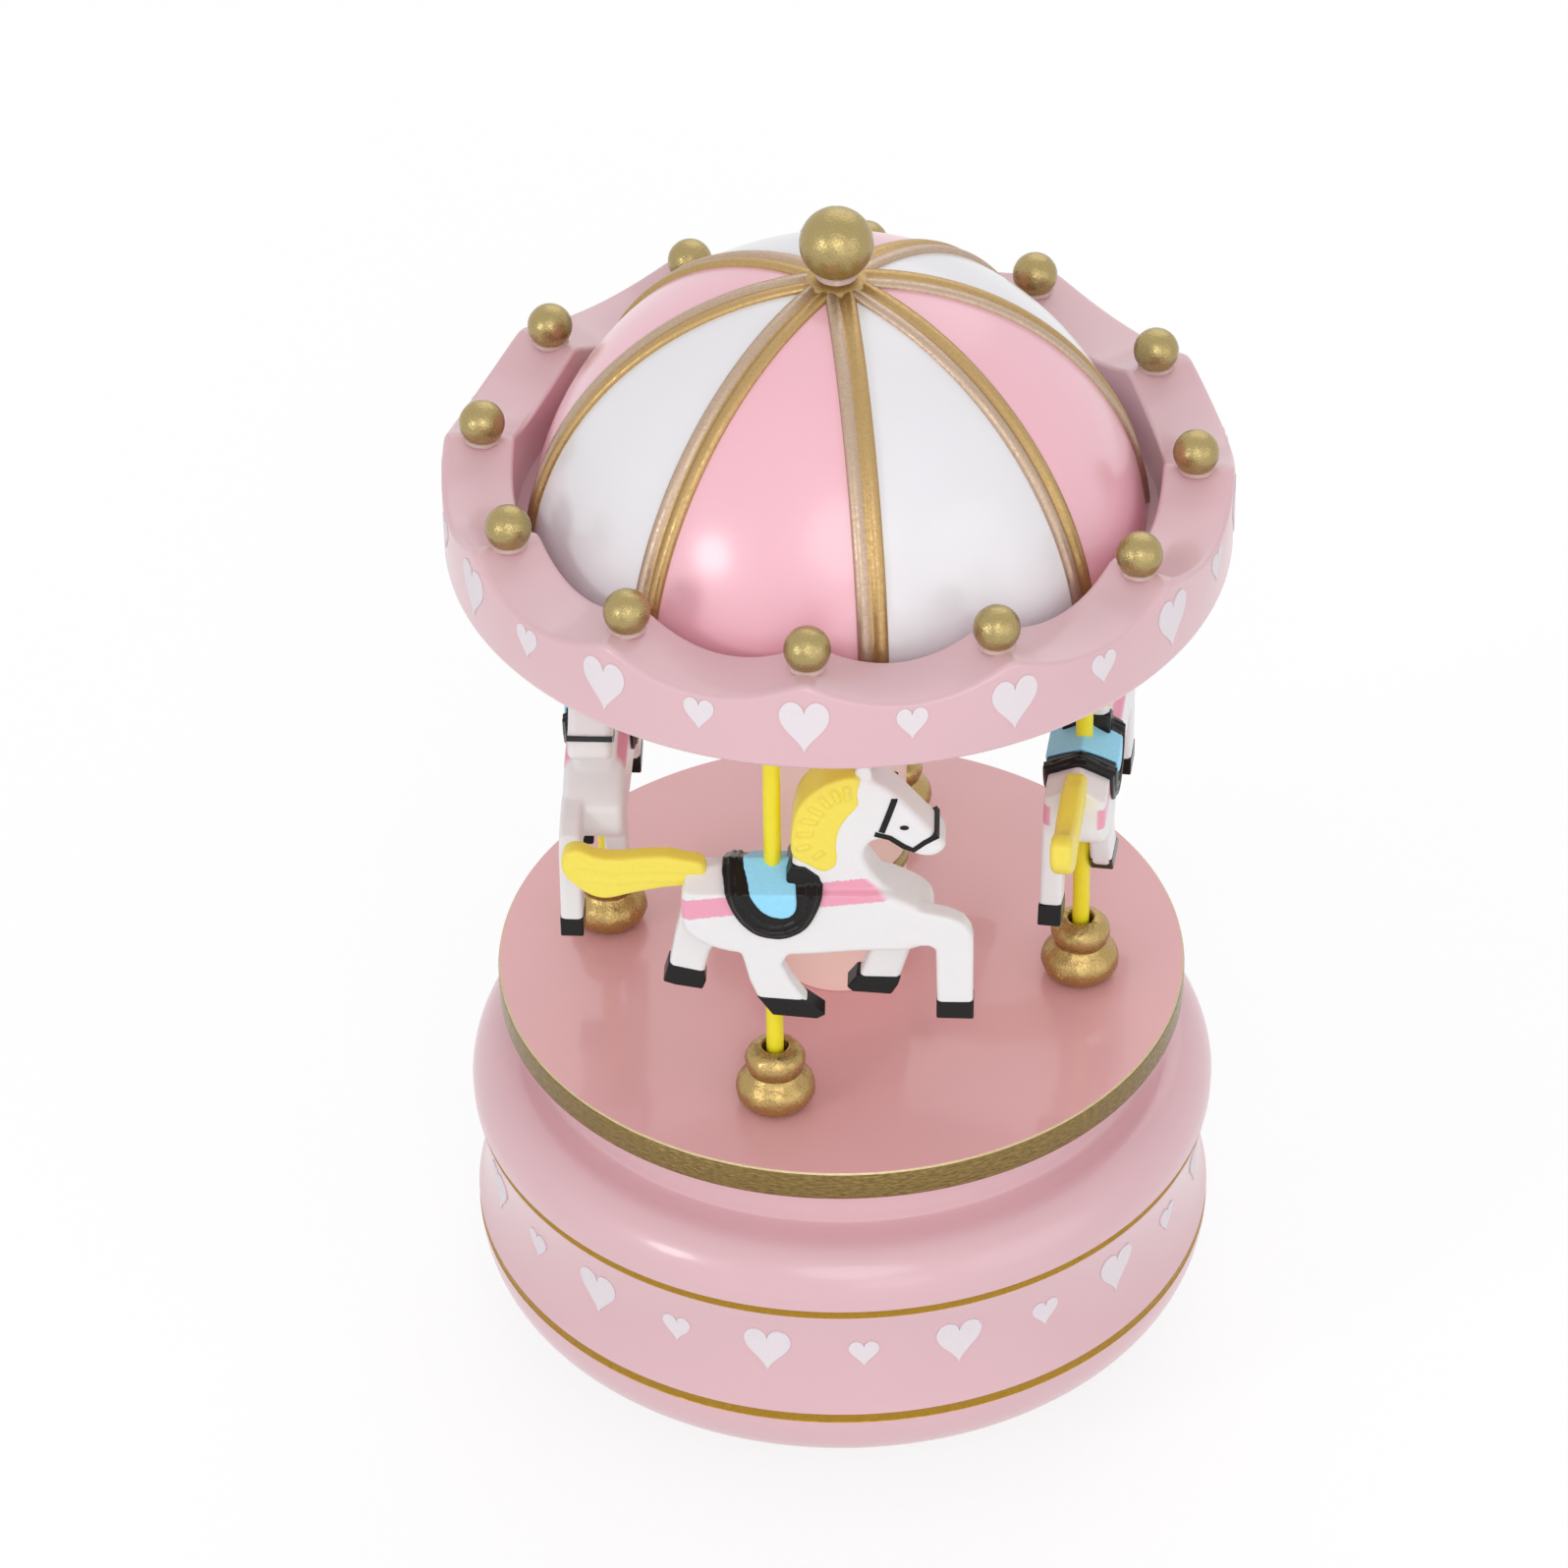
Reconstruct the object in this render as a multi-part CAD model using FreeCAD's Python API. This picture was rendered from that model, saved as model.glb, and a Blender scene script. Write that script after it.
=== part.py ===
"""Carousel music box with a twist-to-wind foot, a pin-cylinder movement and four horses on loose poles.

Millimetres, +Z up. The origin is the centre of the feet's underside, on the carousel's axis.
"""
import FreeCAD
import Part
import math
import os

V = FreeCAD.Vector
os.makedirs("parts", exist_ok=True)

# Overall size
overall_height = 185.0
ring_diameter = 105.0
drum_radius = 52.0

# Fits
running_clearance = 0.06
loose_clearance = 0.42
face_gap = 0.1
turning_gap = 0.7

# Winding foot
foot_stand = 2.0
foot_recess = 0.8
foot_radius = 3.8
foot_circle = 28.6
foot_phase = -126.0
foot_count = 3
disc_radius = 34.0
arbor_radius = 3.0
arbor_square = 4.6
arbor_screw_radius = 1.5
arbor_screw_length = 9.0
arbor_top = 31.0

clutch_wire_depth = 0.5
clutch_wire_width = 0.6
clutch_turns = 2.5
clutch_tang_radius = 0.24

# Drum
drum_bottom = 11.9
drum_undercut = 4.8
line_low = 22.1
line_high = 41.0
line_half = 0.6
line_depth = 0.3
band_hollow = 1.5
shoulder_proud = 0.2
neck_step = 8.8
neck_foot = 50.5
deck_thickness = 3.0
wall = 3.2
opening_lip = 3.8
cover_z = 13.6
cover_thickness = 2.0
post_inset = 7.3
post_radius = 4.0
post_top = 28.0
small_screw_radius = 1.2
small_head_radius = 2.4
small_head_height = 1.4

# Turntable, sockets, poles and column
turntable_inset = 4.1
turntable_top = 62.7
turntable_thickness = 4.6
pole_inset = 9.5
pole_angles = (-106.2, -9.0, 76.2, 166.2)
pole_radius = 1.18
pole_above_ring = 6.9
socket_low_radius = 5.45
socket_high_radius = 4.15
socket_height = 9.8
socket_waist = 5.6
column_radius = 9.1
column_ring_rise = 18.6
column_ring_height = 2.4
column_ring_proud = 0.5
column_screw_offset = 6.0

# Canopy
ring_height = 13.4
ring_width = 9.5
scallop_depth = 3.2
ball_count = 12
ball_phase = -95.5
ball_inset = 5.2
ball_radius = 3.05
ball_rise = 2.2
floor_drop = 0.4
floor_thickness = 2.4
dome_gap = 1.8
dome_sink = 0.9
dome_wall = 1.8
rib_count = 8
rib_phase = -84.3
rib_bar = 1.25
rib_groove = 0.5
rib_height = 0.7
finial_radius = 4.85
finial_gap = 0.9
finial_peg_radius = 1.5
collar_radius = 3.4

# Movement: barrel on the carousel axis, cylinder along +X, fly on a vertical shaft
bedplate_z = 18.0
bedplate_thickness = 2.0
bedplate_inset = 5.8
washer_thickness = 0.8
washer_radius = 7.0
barrel_radius = 14.0
barrel_wall = 1.0
barrel_floor = 1.2
barrel_top = 32.0
cap_thickness = 1.2
cap_hub_radius = 5.0
cap_hub_top = 38.0
crown_teeth = 60
crown_inner = 11.6
crown_tooth_height = 0.9
crown_pitch_rise = 0.52
shaft_radius = 2.5
shaft_top = 72.0
spring_inner = 4.2
spring_outer = 12.4
spring_strip = 0.3
spring_turns = 7
cylinder_teeth = 15
cylinder_radius = 6.5
cylinder_start = 17.8
cylinder_arbor_radius = 1.0
pin_radius = 0.18
pin_height = 0.4
comb_tip_gap = 0.2
note_count = 18
comb_thickness = 1.1
comb_tooth_length = 12.5
comb_foot = 7.0
wheel_teeth = 40
wheel_module = 0.4
pinion_teeth = 8
wheel_thickness = 1.0
governor_teeth = 24
governor_module = 0.5
governor_thickness = 0.7
governor_arbor_radius = 0.6
worm_starts = 2
worm_radius = 1.35
worm_shaft_radius = 0.6
fly_clearance = 0.35
bracket_half = 2.5
bracket_sheet = 1.2
bracket_foot = 9.0
bracket_depth = 6.0
fly_height = 3.6
plate_thickness = 1.4
plate_inner_x = 15.0
plate_inset = 10.8
plate_reach = 3.0
train_gap = 0.8
bush_radius = 4.5
bush_flange_radius = 7.0
bush_flange = 1.2

# Derived heights and radii
ring_radius = ring_diameter / 2
ring_inner_radius = ring_radius - ring_width
dome_radius = ring_inner_radius - dome_gap
ball_circle = ring_radius - ball_inset
pole_circle = ring_inner_radius - pole_inset
inner = drum_radius - wall
drum_bottom_radius = drum_radius - drum_undercut
shoulder_radius = drum_radius + shoulder_proud
neck_radius = drum_radius - neck_step
turntable_radius = drum_radius - turntable_inset
opening_radius = inner - opening_lip
post_circle = inner - post_inset
bedplate_radius = inner - bedplate_inset
disc_top = drum_bottom - turning_gap
cover_top = cover_z + cover_thickness
turntable_bottom = turntable_top - turntable_thickness
deck_top = turntable_bottom - turning_gap
deck_bottom = deck_top - deck_thickness
bedplate_top = bedplate_z + bedplate_thickness
barrel_bottom = bedplate_top + washer_thickness + face_gap
cap_top = barrel_top + cap_thickness
crown_mean = (crown_inner + barrel_radius) / 2
crown_module = 2 * crown_mean / crown_teeth
cylinder_pitch_radius = crown_module * cylinder_teeth / 2
cylinder_z = cap_top + crown_pitch_rise + cylinder_pitch_radius
plate_outer_x = inner - plate_inset
governor_x = plate_outer_x - train_gap - 0.1 - governor_thickness
wheel_x = governor_x - 1.2 - wheel_thickness
cylinder_length = wheel_x - train_gap - cylinder_start
governor_y = -wheel_module * (wheel_teeth + pinion_teeth) / 2
governor_radius = governor_module * governor_teeth / 2
worm_y = governor_y - governor_radius - worm_radius
worm_x = governor_x + governor_thickness / 2
fly_radius = governor_radius + worm_radius - plate_reach - fly_clearance
finial_z = overall_height - finial_radius
dome_top = finial_z - finial_radius - finial_gap
dome_centre_z = dome_top - dome_radius
ring_bottom = dome_centre_z + dome_sink
ring_peak = ring_bottom + ring_height
ball_z = ring_peak + ball_rise
floor_z = ring_bottom + floor_drop
floor_top = floor_z + floor_thickness
column_ring_z = turntable_top + column_ring_rise
pole_top = ring_bottom + pole_above_ring
pole_hole = pole_radius + loose_clearance
pole_bottom = turntable_top + face_gap


def cyl(radius, z0, z1, x=0.0, y=0.0):
    return Part.makeCylinder(radius, z1 - z0, V(x, y, z0))


def cyl_x(radius, x0, x1, y, z):
    return Part.makeCylinder(radius, x1 - x0, V(x0, y, z), V(1, 0, 0))


def box(x0, x1, y0, y1, z0, z1):
    return Part.makeBox(x1 - x0, y1 - y0, z1 - z0, V(x0, y0, z0))


def polar(radius, degrees, z=0.0):
    a = math.radians(degrees)
    return V(radius * math.cos(a), radius * math.sin(a), z)


def turned(start, *steps):
    """Solid of revolution about Z. A step is an end point, or an arc's middle and end."""
    first = V(start[0], 0, start[1])
    here = first
    edges = []
    for step in steps:
        end = V(step[-2], 0, step[-1])
        if len(step) == 4:
            edges.append(Part.Arc(here, V(step[0], 0, step[1]), end).toShape())
        else:
            edges.append(Part.makeLine(here, end))
        here = end
    if here.distanceToPoint(first) > 1e-6:
        edges.append(Part.makeLine(here, first))
    return Part.Face(Part.Wire(edges)).revolve(V(0, 0, 0), V(0, 0, 1), 360)


def spun(shape, degrees):
    copy = shape.copy()
    copy.rotate(V(0, 0, 0), V(0, 0, 1), degrees)
    return copy


def moved(shape, x, y, z=0.0):
    copy = shape.copy()
    copy.translate(V(x, y, z))
    return copy


def joined(shapes):
    return shapes[0].multiFuse(shapes[1:]).removeSplitter()


def save(name, shape):
    if shape.ShapeType == "Compound" and len(shape.Solids) == 1:
        shape = shape.Solids[0]
    print(name, len(shape.Solids), shape.isValid(), round(shape.Volume, 1))
    shape.exportStep("parts/" + name + ".step")


def group(shapes):
    return Part.makeCompound([s.Solids[0] for s in shapes])


def spur(module, teeth, x0, x1, y, z, bore, thick=0.40):
    """Spur wheel with straight-flanked teeth, its axis along X."""
    pitch_radius = module * teeth / 2
    step = 2 * math.pi / teeth
    levels = ((pitch_radius - 1.2 * module, 0.5 * thick + 0.09),
              (pitch_radius, 0.5 * thick),
              (pitch_radius + 0.85 * module, 0.5 * thick - 0.10))
    points = []
    for n in range(teeth):
        flank = [(r, n * step - w * step) for r, w in levels]
        flank += [(r, n * step + w * step) for r, w in reversed(levels)]
        points += [V(x0, y + r * math.sin(a), z + r * math.cos(a)) for r, a in flank]
    wheel = Part.Face(Part.makePolygon(points + points[:1])).extrude(V(x1 - x0, 0, 0))
    return wheel.cut(cyl_x(bore, x0, x1, y, z)) if bore else wheel


def screw(shank, head, head_height, length):
    """Slotted screw pointing up: head below Z 0, shank above."""
    body = cyl(head, -head_height, 0).fuse(cyl(shank, 0, length))
    return body.cut(box(-head, head, -0.3, 0.3, -head_height, -0.6 * head_height))


# Winding foot
screw_head = 2 * arbor_screw_radius
screw_head_height = 1.8
square_z = foot_stand + 3.0
disc = turned((0, foot_stand), (disc_radius - 1, foot_stand), (disc_radius, foot_stand + 1),
              (disc_radius, disc_top - 1.5), (disc_radius - 1.5, disc_top), (0, disc_top))
half_square = arbor_square / 2
square = box(-half_square, half_square, -half_square, half_square, square_z, disc_top)
disc = disc.cut(square).cut(cyl(screw_head + 0.4, foot_stand, square_z - 1.0))
disc = disc.cut(cyl(arbor_screw_radius + 0.1, foot_stand, square_z))
feet = []
for n in range(foot_count):
    p = polar(foot_circle, foot_phase + 360 / foot_count * n)
    feet.append(cyl(foot_radius, 0, foot_stand + foot_recess, p.x, p.y))
    edge = [e for e in feet[-1].Edges if e.BoundBox.ZMax < 0.01]
    feet[-1] = feet[-1].makeFillet(0.6, edge)
    disc = disc.cut(cyl(foot_radius, foot_stand, foot_stand + foot_recess, p.x, p.y))
save("winding_disc", disc)
save("rubber_feet", group(feet))

arbor = joined([square, cyl(arbor_radius, disc_top, arbor_top)])
arbor = arbor.cut(cyl(arbor_screw_radius, square_z, square_z + arbor_screw_length))
save("winding_arbor", arbor)
fixing = screw(arbor_screw_radius, screw_head, screw_head_height, arbor_screw_length)
save("arbor_screw", moved(fixing, 0, 0, square_z - 1.0))

# Drum: moulded shell with a bulged shoulder, a neck and a deck
shell = turned(
    (opening_radius, drum_bottom), (drum_bottom_radius - 0.8, drum_bottom),
    (drum_bottom_radius, drum_bottom + 0.6),
    (drum_radius - 1.4, drum_bottom + 4.9, drum_radius, line_low - line_half),
    (drum_radius - line_depth, line_low), (drum_radius, line_low + line_half),
    (drum_radius - band_hollow, (line_low + line_high) / 2, drum_radius, line_high - line_half),
    (drum_radius - line_depth, line_high), (shoulder_radius, line_high + line_half),
    (shoulder_radius - 2.1, neck_foot - 3.0, neck_radius + 2.0, neck_foot - 0.6),
    (neck_radius + 0.7, neck_foot - 0.5), (neck_radius, neck_foot),
    (neck_radius, deck_top - 0.5), (neck_radius - 0.5, deck_top), (bush_radius, deck_top),
    (bush_radius, deck_bottom), (neck_radius - wall, deck_bottom), (neck_radius - wall, neck_foot - 1.3),
    (inner, line_high + 2), (inner, line_low - 1.5), (opening_radius, cover_top))
screw_holes = []
post_angles = (60, 180, 300)
for angle in post_angles:
    p = polar(post_circle, angle)
    web = spun(box(post_circle, inner + 0.4, -1.5, 1.5, line_low, post_top), angle)
    shell = shell.fuse(cyl(post_radius, cover_top, post_top, p.x, p.y)).fuse(web)
    screw_holes.append(p)
shell = shell.removeSplitter()
screw_length = 9.0
for p in screw_holes:
    shell = shell.cut(cyl(small_screw_radius, cover_top, cover_z + screw_length, p.x, p.y))
save("base_shell", shell)

cover = cyl(opening_radius - 0.2, cover_z, cover_top)
bed_points = (V(-barrel_radius, -17, 0), V(-barrel_radius, 19, 0), V(plate_outer_x - 11, -19, 0))
for p in bed_points:
    cover = cover.fuse(cyl(post_radius, cover_top, bedplate_z, p.x, p.y))
cover = cover.removeSplitter().cut(cyl(arbor_radius + 1.0, cover_z, cover_top))
for p in list(bed_points) + screw_holes:
    cover = cover.cut(cyl(small_screw_radius, cover_z, bedplate_z, p.x, p.y))
save("bottom_cover", cover)
small_screw = screw(small_screw_radius, small_head_radius, small_head_height, screw_length)
save("cover_screws", group([moved(small_screw, p.x, p.y, cover_z) for p in screw_holes]))
bed_screw = screw(small_screw_radius, small_head_radius, small_head_height, bedplate_top - cover_z)
save("bedplate_screws", group([moved(bed_screw, p.x, p.y, cover_z) for p in bed_points]))

# Bedplate with the comb's pedestal
comb_z = cylinder_z - comb_thickness / 2
comb_tip_y = cylinder_radius + pin_height + comb_tip_gap
comb_root_y = comb_tip_y + comb_tooth_length
comb_back_y = comb_root_y + comb_foot
cylinder_end = cylinder_start + cylinder_length
plate_slots = ((plate_inner_x, -5.0), (plate_outer_x, -5.0))
bed = box(-barrel_radius - 6, plate_outer_x + 2, -barrel_radius - 11, comb_back_y, bedplate_z, bedplate_top)
bed = bed.common(cyl(bedplate_radius, bedplate_z, bedplate_top))
bed = bed.fuse(box(cylinder_start, cylinder_end, comb_root_y, comb_back_y, bedplate_top, comb_z))
bed = bed.removeSplitter().cut(cyl(arbor_radius + running_clearance, bedplate_z, bedplate_top))
for p in bed_points:
    bed = bed.cut(cyl(small_screw_radius, bedplate_z, bedplate_top, p.x, p.y))
for x, y in plate_slots:
    bed = bed.cut(box(x, x + plate_thickness, y - 4, y + 4, bedplate_z, bedplate_top))
comb_screw_x = [cylinder_start + cylinder_length * t for t in (0.15, 0.5, 0.85)]
comb_screw_y = (comb_root_y + comb_back_y) / 2
comb_screw_length = 5.0
for x in comb_screw_x:
    bed = bed.cut(cyl(small_screw_radius, comb_z - comb_screw_length, comb_z, x, comb_screw_y))
clutch_inner = arbor_radius + running_clearance
clutch_pitch = clutch_wire_width + running_clearance
clutch_rise = clutch_turns * clutch_pitch
clutch_z = bedplate_z - face_gap - clutch_wire_width - clutch_rise
clutch_end = polar(clutch_inner + clutch_wire_depth / 2, 360 * clutch_turns)
tang_top = bedplate_z + 1.2
bed = bed.cut(cyl(clutch_tang_radius, bedplate_z, tang_top, clutch_end.x, clutch_end.y))
save("bedplate", bed)

# One-way clutch: a wrap spring on the arbor, its tang in the bedplate
helix = Part.makeHelix(clutch_pitch, clutch_rise, clutch_inner)
clutch_outer = clutch_inner + clutch_wire_depth
section = Part.makePolygon([V(clutch_inner, 0, 0), V(clutch_outer, 0, 0),
                            V(clutch_outer, 0, clutch_wire_width), V(clutch_inner, 0, clutch_wire_width),
                            V(clutch_inner, 0, 0)])
coil = moved(Part.Wire(helix.Edges).makePipeShell([section], True, True), 0, 0, clutch_z)
tang = cyl(clutch_tang_radius, clutch_z + clutch_rise + 0.1, tang_top, clutch_end.x, clutch_end.y)
save("clutch_spring", coil.fuse(tang))
washer = cyl(washer_radius, bedplate_top, bedplate_top + washer_thickness)
save("thrust_washer", washer.cut(cyl(arbor_radius + running_clearance, bedplate_top, barrel_bottom)))

# Comb: one plate, a slot between every two teeth, the long teeth at the bass end
pitch = cylinder_length / note_count
comb = box(cylinder_start, cylinder_end, comb_tip_y, comb_back_y, comb_z, comb_z + comb_thickness)
slots = []
for n in range(1, note_count):
    x = cylinder_start + n * pitch
    root = comb_root_y - 5.0 * n / note_count
    slots.append(box(x - 0.13, x + 0.13, comb_tip_y, root, comb_z, comb_z + comb_thickness))
comb = comb.cut(Part.makeCompound(slots))
for x in comb_screw_x:
    comb = comb.cut(cyl(small_screw_radius, comb_z, comb_z + comb_thickness, x, comb_screw_y))
save("comb", comb)
down = screw(small_screw_radius, small_head_radius, small_head_height, comb_screw_length + comb_thickness)
down.rotate(V(0, 0, 0), V(1, 0, 0), 180)
save("comb_screws", group([moved(down, x, comb_screw_y, comb_z + comb_thickness) for x in comb_screw_x]))

# Bearing plates for the cylinder and the governor wheel
for name, x in (("bearing_plate_inner", plate_inner_x), ("bearing_plate_outer", plate_outer_x)):
    plate = box(x, x + plate_thickness, governor_y - plate_reach, 3.5, bedplate_top, cylinder_z + 3.5)
    plate = plate.fuse(box(x, x + plate_thickness, -9, -1, bedplate_z, bedplate_top)).removeSplitter()
    for radius, y in ((cylinder_arbor_radius, 0), (governor_arbor_radius, governor_y)):
        plate = plate.cut(cyl_x(radius + running_clearance, x, x + plate_thickness, y, cylinder_z))
    save(name, plate)

# Cylinder with its pins, arbor, pinion and wheel
drum = cyl_x(cylinder_radius, cylinder_start, cylinder_end, 0, cylinder_z)
pins = []
for n in range(note_count):
    for k in range(3):
        a = math.radians(137.5 * n + 120 * k + 31 * (n % 3) * k)
        d = V(0, math.sin(a), math.cos(a))
        foot = V(cylinder_start + (n + 0.5) * pitch, 0, cylinder_z) + d * (cylinder_radius - 0.3)
        pins.append(Part.makeCylinder(pin_radius, 0.3 + pin_height, foot, d))
drum = drum.multiFuse(pins).cut(cyl_x(cylinder_arbor_radius, cylinder_start, cylinder_end, 0, cylinder_z))
save("pin_cylinder", drum)
arbor_end = plate_outer_x + plate_thickness
save("cylinder_arbor", cyl_x(cylinder_arbor_radius, crown_inner, arbor_end, 0, cylinder_z))
save("cylinder_pinion", spur(crown_module, cylinder_teeth, crown_inner, barrel_radius, 0, cylinder_z,
                             cylinder_arbor_radius, 0.36))
save("cylinder_wheel", spur(wheel_module, wheel_teeth, wheel_x, wheel_x + wheel_thickness, 0, cylinder_z,
                            cylinder_arbor_radius))

# Governor pinion cut on its arbor, and the wheel that drives the worm
arbor = cyl_x(governor_arbor_radius, plate_inner_x, arbor_end, governor_y, cylinder_z)
pinion = spur(wheel_module, pinion_teeth, wheel_x - 0.2, wheel_x + wheel_thickness + 0.2, governor_y,
              cylinder_z, None)
pinion.rotate(V(0, governor_y, cylinder_z), V(1, 0, 0), 180 / pinion_teeth)
save("governor_pinion", arbor.fuse(pinion).removeSplitter())
save("governor_wheel", spur(governor_module, governor_teeth, governor_x, governor_x + governor_thickness,
                            governor_y, cylinder_z, governor_arbor_radius))

# Worm on a vertical shaft, with the fly under it
lead = math.pi * governor_module * worm_starts
worm_length = 2 * lead
worm_z = cylinder_z - worm_length / 2
fly_z = cylinder_z - governor_radius - governor_module - fly_clearance - fly_height
bracket_low = fly_z - 2.0
bracket_high = worm_z + worm_length + 1.5
worm = cyl(worm_shaft_radius, bracket_low - 1.0, bracket_high + 1.0)
core = worm_radius - 0.55
worm = worm.fuse(cyl(core, worm_z - 0.8, worm_z + worm_length + 0.8))
tip = worm_radius + 0.4
for n in range(worm_starts):
    helix = Part.makeHelix(lead, worm_length, core)
    helix.rotate(V(0, 0, 0), V(0, 0, 1), 360 * n / worm_starts)
    thread = Part.makePolygon([V(core - 0.1, 0, -0.34), V(tip, 0, -0.14), V(tip, 0, 0.14),
                               V(core - 0.1, 0, 0.34), V(core - 0.1, 0, -0.34)])
    thread.rotate(V(0, 0, 0), V(0, 0, 1), 360 * n / worm_starts)
    coil = Part.Wire(helix.Edges).makePipeShell([thread], True, True)
    worm = worm.fuse(moved(coil, 0, 0, worm_z))
save("worm_shaft", moved(worm, worm_x, worm_y))
fly = box(-fly_radius, fly_radius, -0.25, 0.25, fly_z, fly_z + fly_height)
fly = fly.fuse(cyl(1.4, fly_z, fly_z + fly_height)).removeSplitter()
save("fly", moved(fly.cut(cyl(worm_shaft_radius, fly_z, fly_z + fly_height)), worm_x, worm_y))

# Governor bracket: a foot, an upright and two arms that hold the worm's pivots
back_y = worm_y - fly_radius - bracket_sheet - fly_clearance
left = worm_x - bracket_half
right = worm_x + bracket_half
bracket = box(left, right, back_y, back_y + bracket_sheet, bedplate_top, bracket_high + bracket_sheet)
for z in (bracket_low - bracket_sheet, bracket_high):
    bracket = bracket.fuse(box(left, right, back_y, worm_y + 0.8 * bracket_half, z, z + bracket_sheet))
bracket = bracket.fuse(box(worm_x - bracket_foot, right, back_y, back_y + bracket_depth,
                           bedplate_top, bedplate_top + bracket_sheet)).removeSplitter()
pivot = cyl(worm_shaft_radius + running_clearance, bracket_low - bracket_sheet, bracket_high + bracket_sheet,
            worm_x, worm_y)
save("governor_bracket", bracket.cut(pivot))

# Spring barrel, cap with crown teeth, mainspring and drive shaft
barrel = cyl(barrel_radius, barrel_bottom, barrel_top)
barrel = barrel.cut(cyl(barrel_radius - barrel_wall, barrel_bottom + barrel_floor, barrel_top))
save("spring_barrel", barrel.cut(cyl(arbor_radius + running_clearance, barrel_bottom, barrel_top)))
cap = cyl(barrel_radius, barrel_top, cap_top).fuse(cyl(cap_hub_radius, barrel_top, cap_hub_top))
crown_pitch = 2 * math.pi * crown_mean / crown_teeth
low = 0.27 * crown_pitch
high = 0.09 * crown_pitch
rise = cap_top + crown_tooth_height
tooth = Part.makePolygon([V(crown_inner, -low, cap_top), V(crown_inner, low, cap_top),
                          V(crown_inner, high, rise), V(crown_inner, -high, rise),
                          V(crown_inner, -low, cap_top)])
tooth = Part.Face(tooth).extrude(V(barrel_radius - crown_inner - 0.05, 0, 0))
cap = cap.multiFuse([spun(tooth, 360 / crown_teeth * n) for n in range(crown_teeth)]).removeSplitter()
save("barrel_cap", cap.cut(cyl(shaft_radius, barrel_top, cap_hub_top)))
strip = []
for offset in (0.0, spring_strip):
    row = []
    for n in range(16 * spring_turns + 1):
        t = n / (16 * spring_turns)
        row.append(polar(spring_inner + (spring_outer - spring_inner) * t + offset, 360 * spring_turns * t))
    curve = Part.BSplineCurve()
    curve.interpolate(row)
    strip.append((curve.toShape(), row))
edges = [strip[0][0], Part.makeLine(strip[0][1][-1], strip[1][1][-1]), strip[1][0],
         Part.makeLine(strip[1][1][0], strip[0][1][0])]
spring = Part.Face(Part.Wire(Part.__sortEdges__(edges)))
spring = spring.extrude(V(0, 0, barrel_top - barrel_bottom - barrel_floor - 1.0))
save("mainspring", moved(spring, 0, 0, barrel_bottom + barrel_floor + 0.5))
save("drive_shaft", cyl(shaft_radius, barrel_top, shaft_top))
flange = cyl(bush_flange_radius, deck_bottom - bush_flange, deck_bottom)
bush = cyl(bush_radius, deck_bottom, deck_top).fuse(flange).removeSplitter()
save("deck_bush", bush.cut(cyl(shaft_radius + running_clearance, deck_bottom - bush_flange, deck_top)))

# Turntable and column
turntable = turned((shaft_radius, turntable_bottom), (turntable_radius - 0.8, turntable_bottom),
                   (turntable_radius, turntable_bottom + 0.8), (turntable_radius, turntable_top - 0.8),
                   (turntable_radius - 0.25, turntable_top - 0.25, turntable_radius - 0.8, turntable_top),
                   (shaft_radius, turntable_top))
column_screw_length = 12.0
head_z = turntable_bottom + small_head_height
column_top = floor_z
ring_radius_in = column_radius - 0.8
column = turned((shaft_radius, turntable_top), (column_radius, turntable_top),
                (column_radius, column_ring_z - column_ring_height / 2),
                (ring_radius_in, column_ring_z - column_ring_height / 2),
                (ring_radius_in, column_ring_z + column_ring_height / 2),
                (column_radius, column_ring_z + column_ring_height / 2),
                (column_radius, column_top), (small_screw_radius, column_top),
                (small_screw_radius, column_top - column_screw_length),
                (0, column_top - column_screw_length), (0, shaft_top), (shaft_radius, shaft_top))
column_screws = []
column_screw = screw(small_screw_radius, small_head_radius, small_head_height, column_screw_length)
for x in (-column_screw_offset, column_screw_offset):
    turntable = turntable.cut(cyl(small_screw_radius, turntable_bottom, turntable_top, x))
    turntable = turntable.cut(cyl(small_head_radius + 0.2, turntable_bottom, head_z, x))
    column = column.cut(cyl(small_screw_radius, turntable_top, head_z + column_screw_length, x))
    column_screws.append(moved(column_screw, x, 0, head_z))
save("turntable", turntable)
save("column", column)
save("turntable_screws", group(column_screws))
z0 = column_ring_z - column_ring_height / 2
z1 = column_ring_z + column_ring_height / 2
save("column_ring", turned((ring_radius_in, z0), (column_radius, z0),
                           (column_radius + column_ring_proud, column_ring_z, column_radius, z1),
                           (ring_radius_in, z1)))

# Canopy: floor, scalloped ring, ribbed dome, balls
floor = cyl(ring_inner_radius, floor_z, floor_top)
floor = floor.cut(cyl(small_screw_radius, floor_z, floor_top))
for angle in pole_angles:
    p = polar(pole_circle, angle)
    floor = floor.cut(cyl(pole_hole, floor_z, floor_top, p.x, p.y))
save("canopy_floor", floor)
canopy_screw_length = column_screw_length + floor_thickness - 2
down = screw(small_screw_radius, small_head_radius, small_head_height, canopy_screw_length)
down.rotate(V(0, 0, 0), V(1, 0, 0), 180)
save("canopy_screw", moved(down, 0, 0, floor_top))

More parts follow.
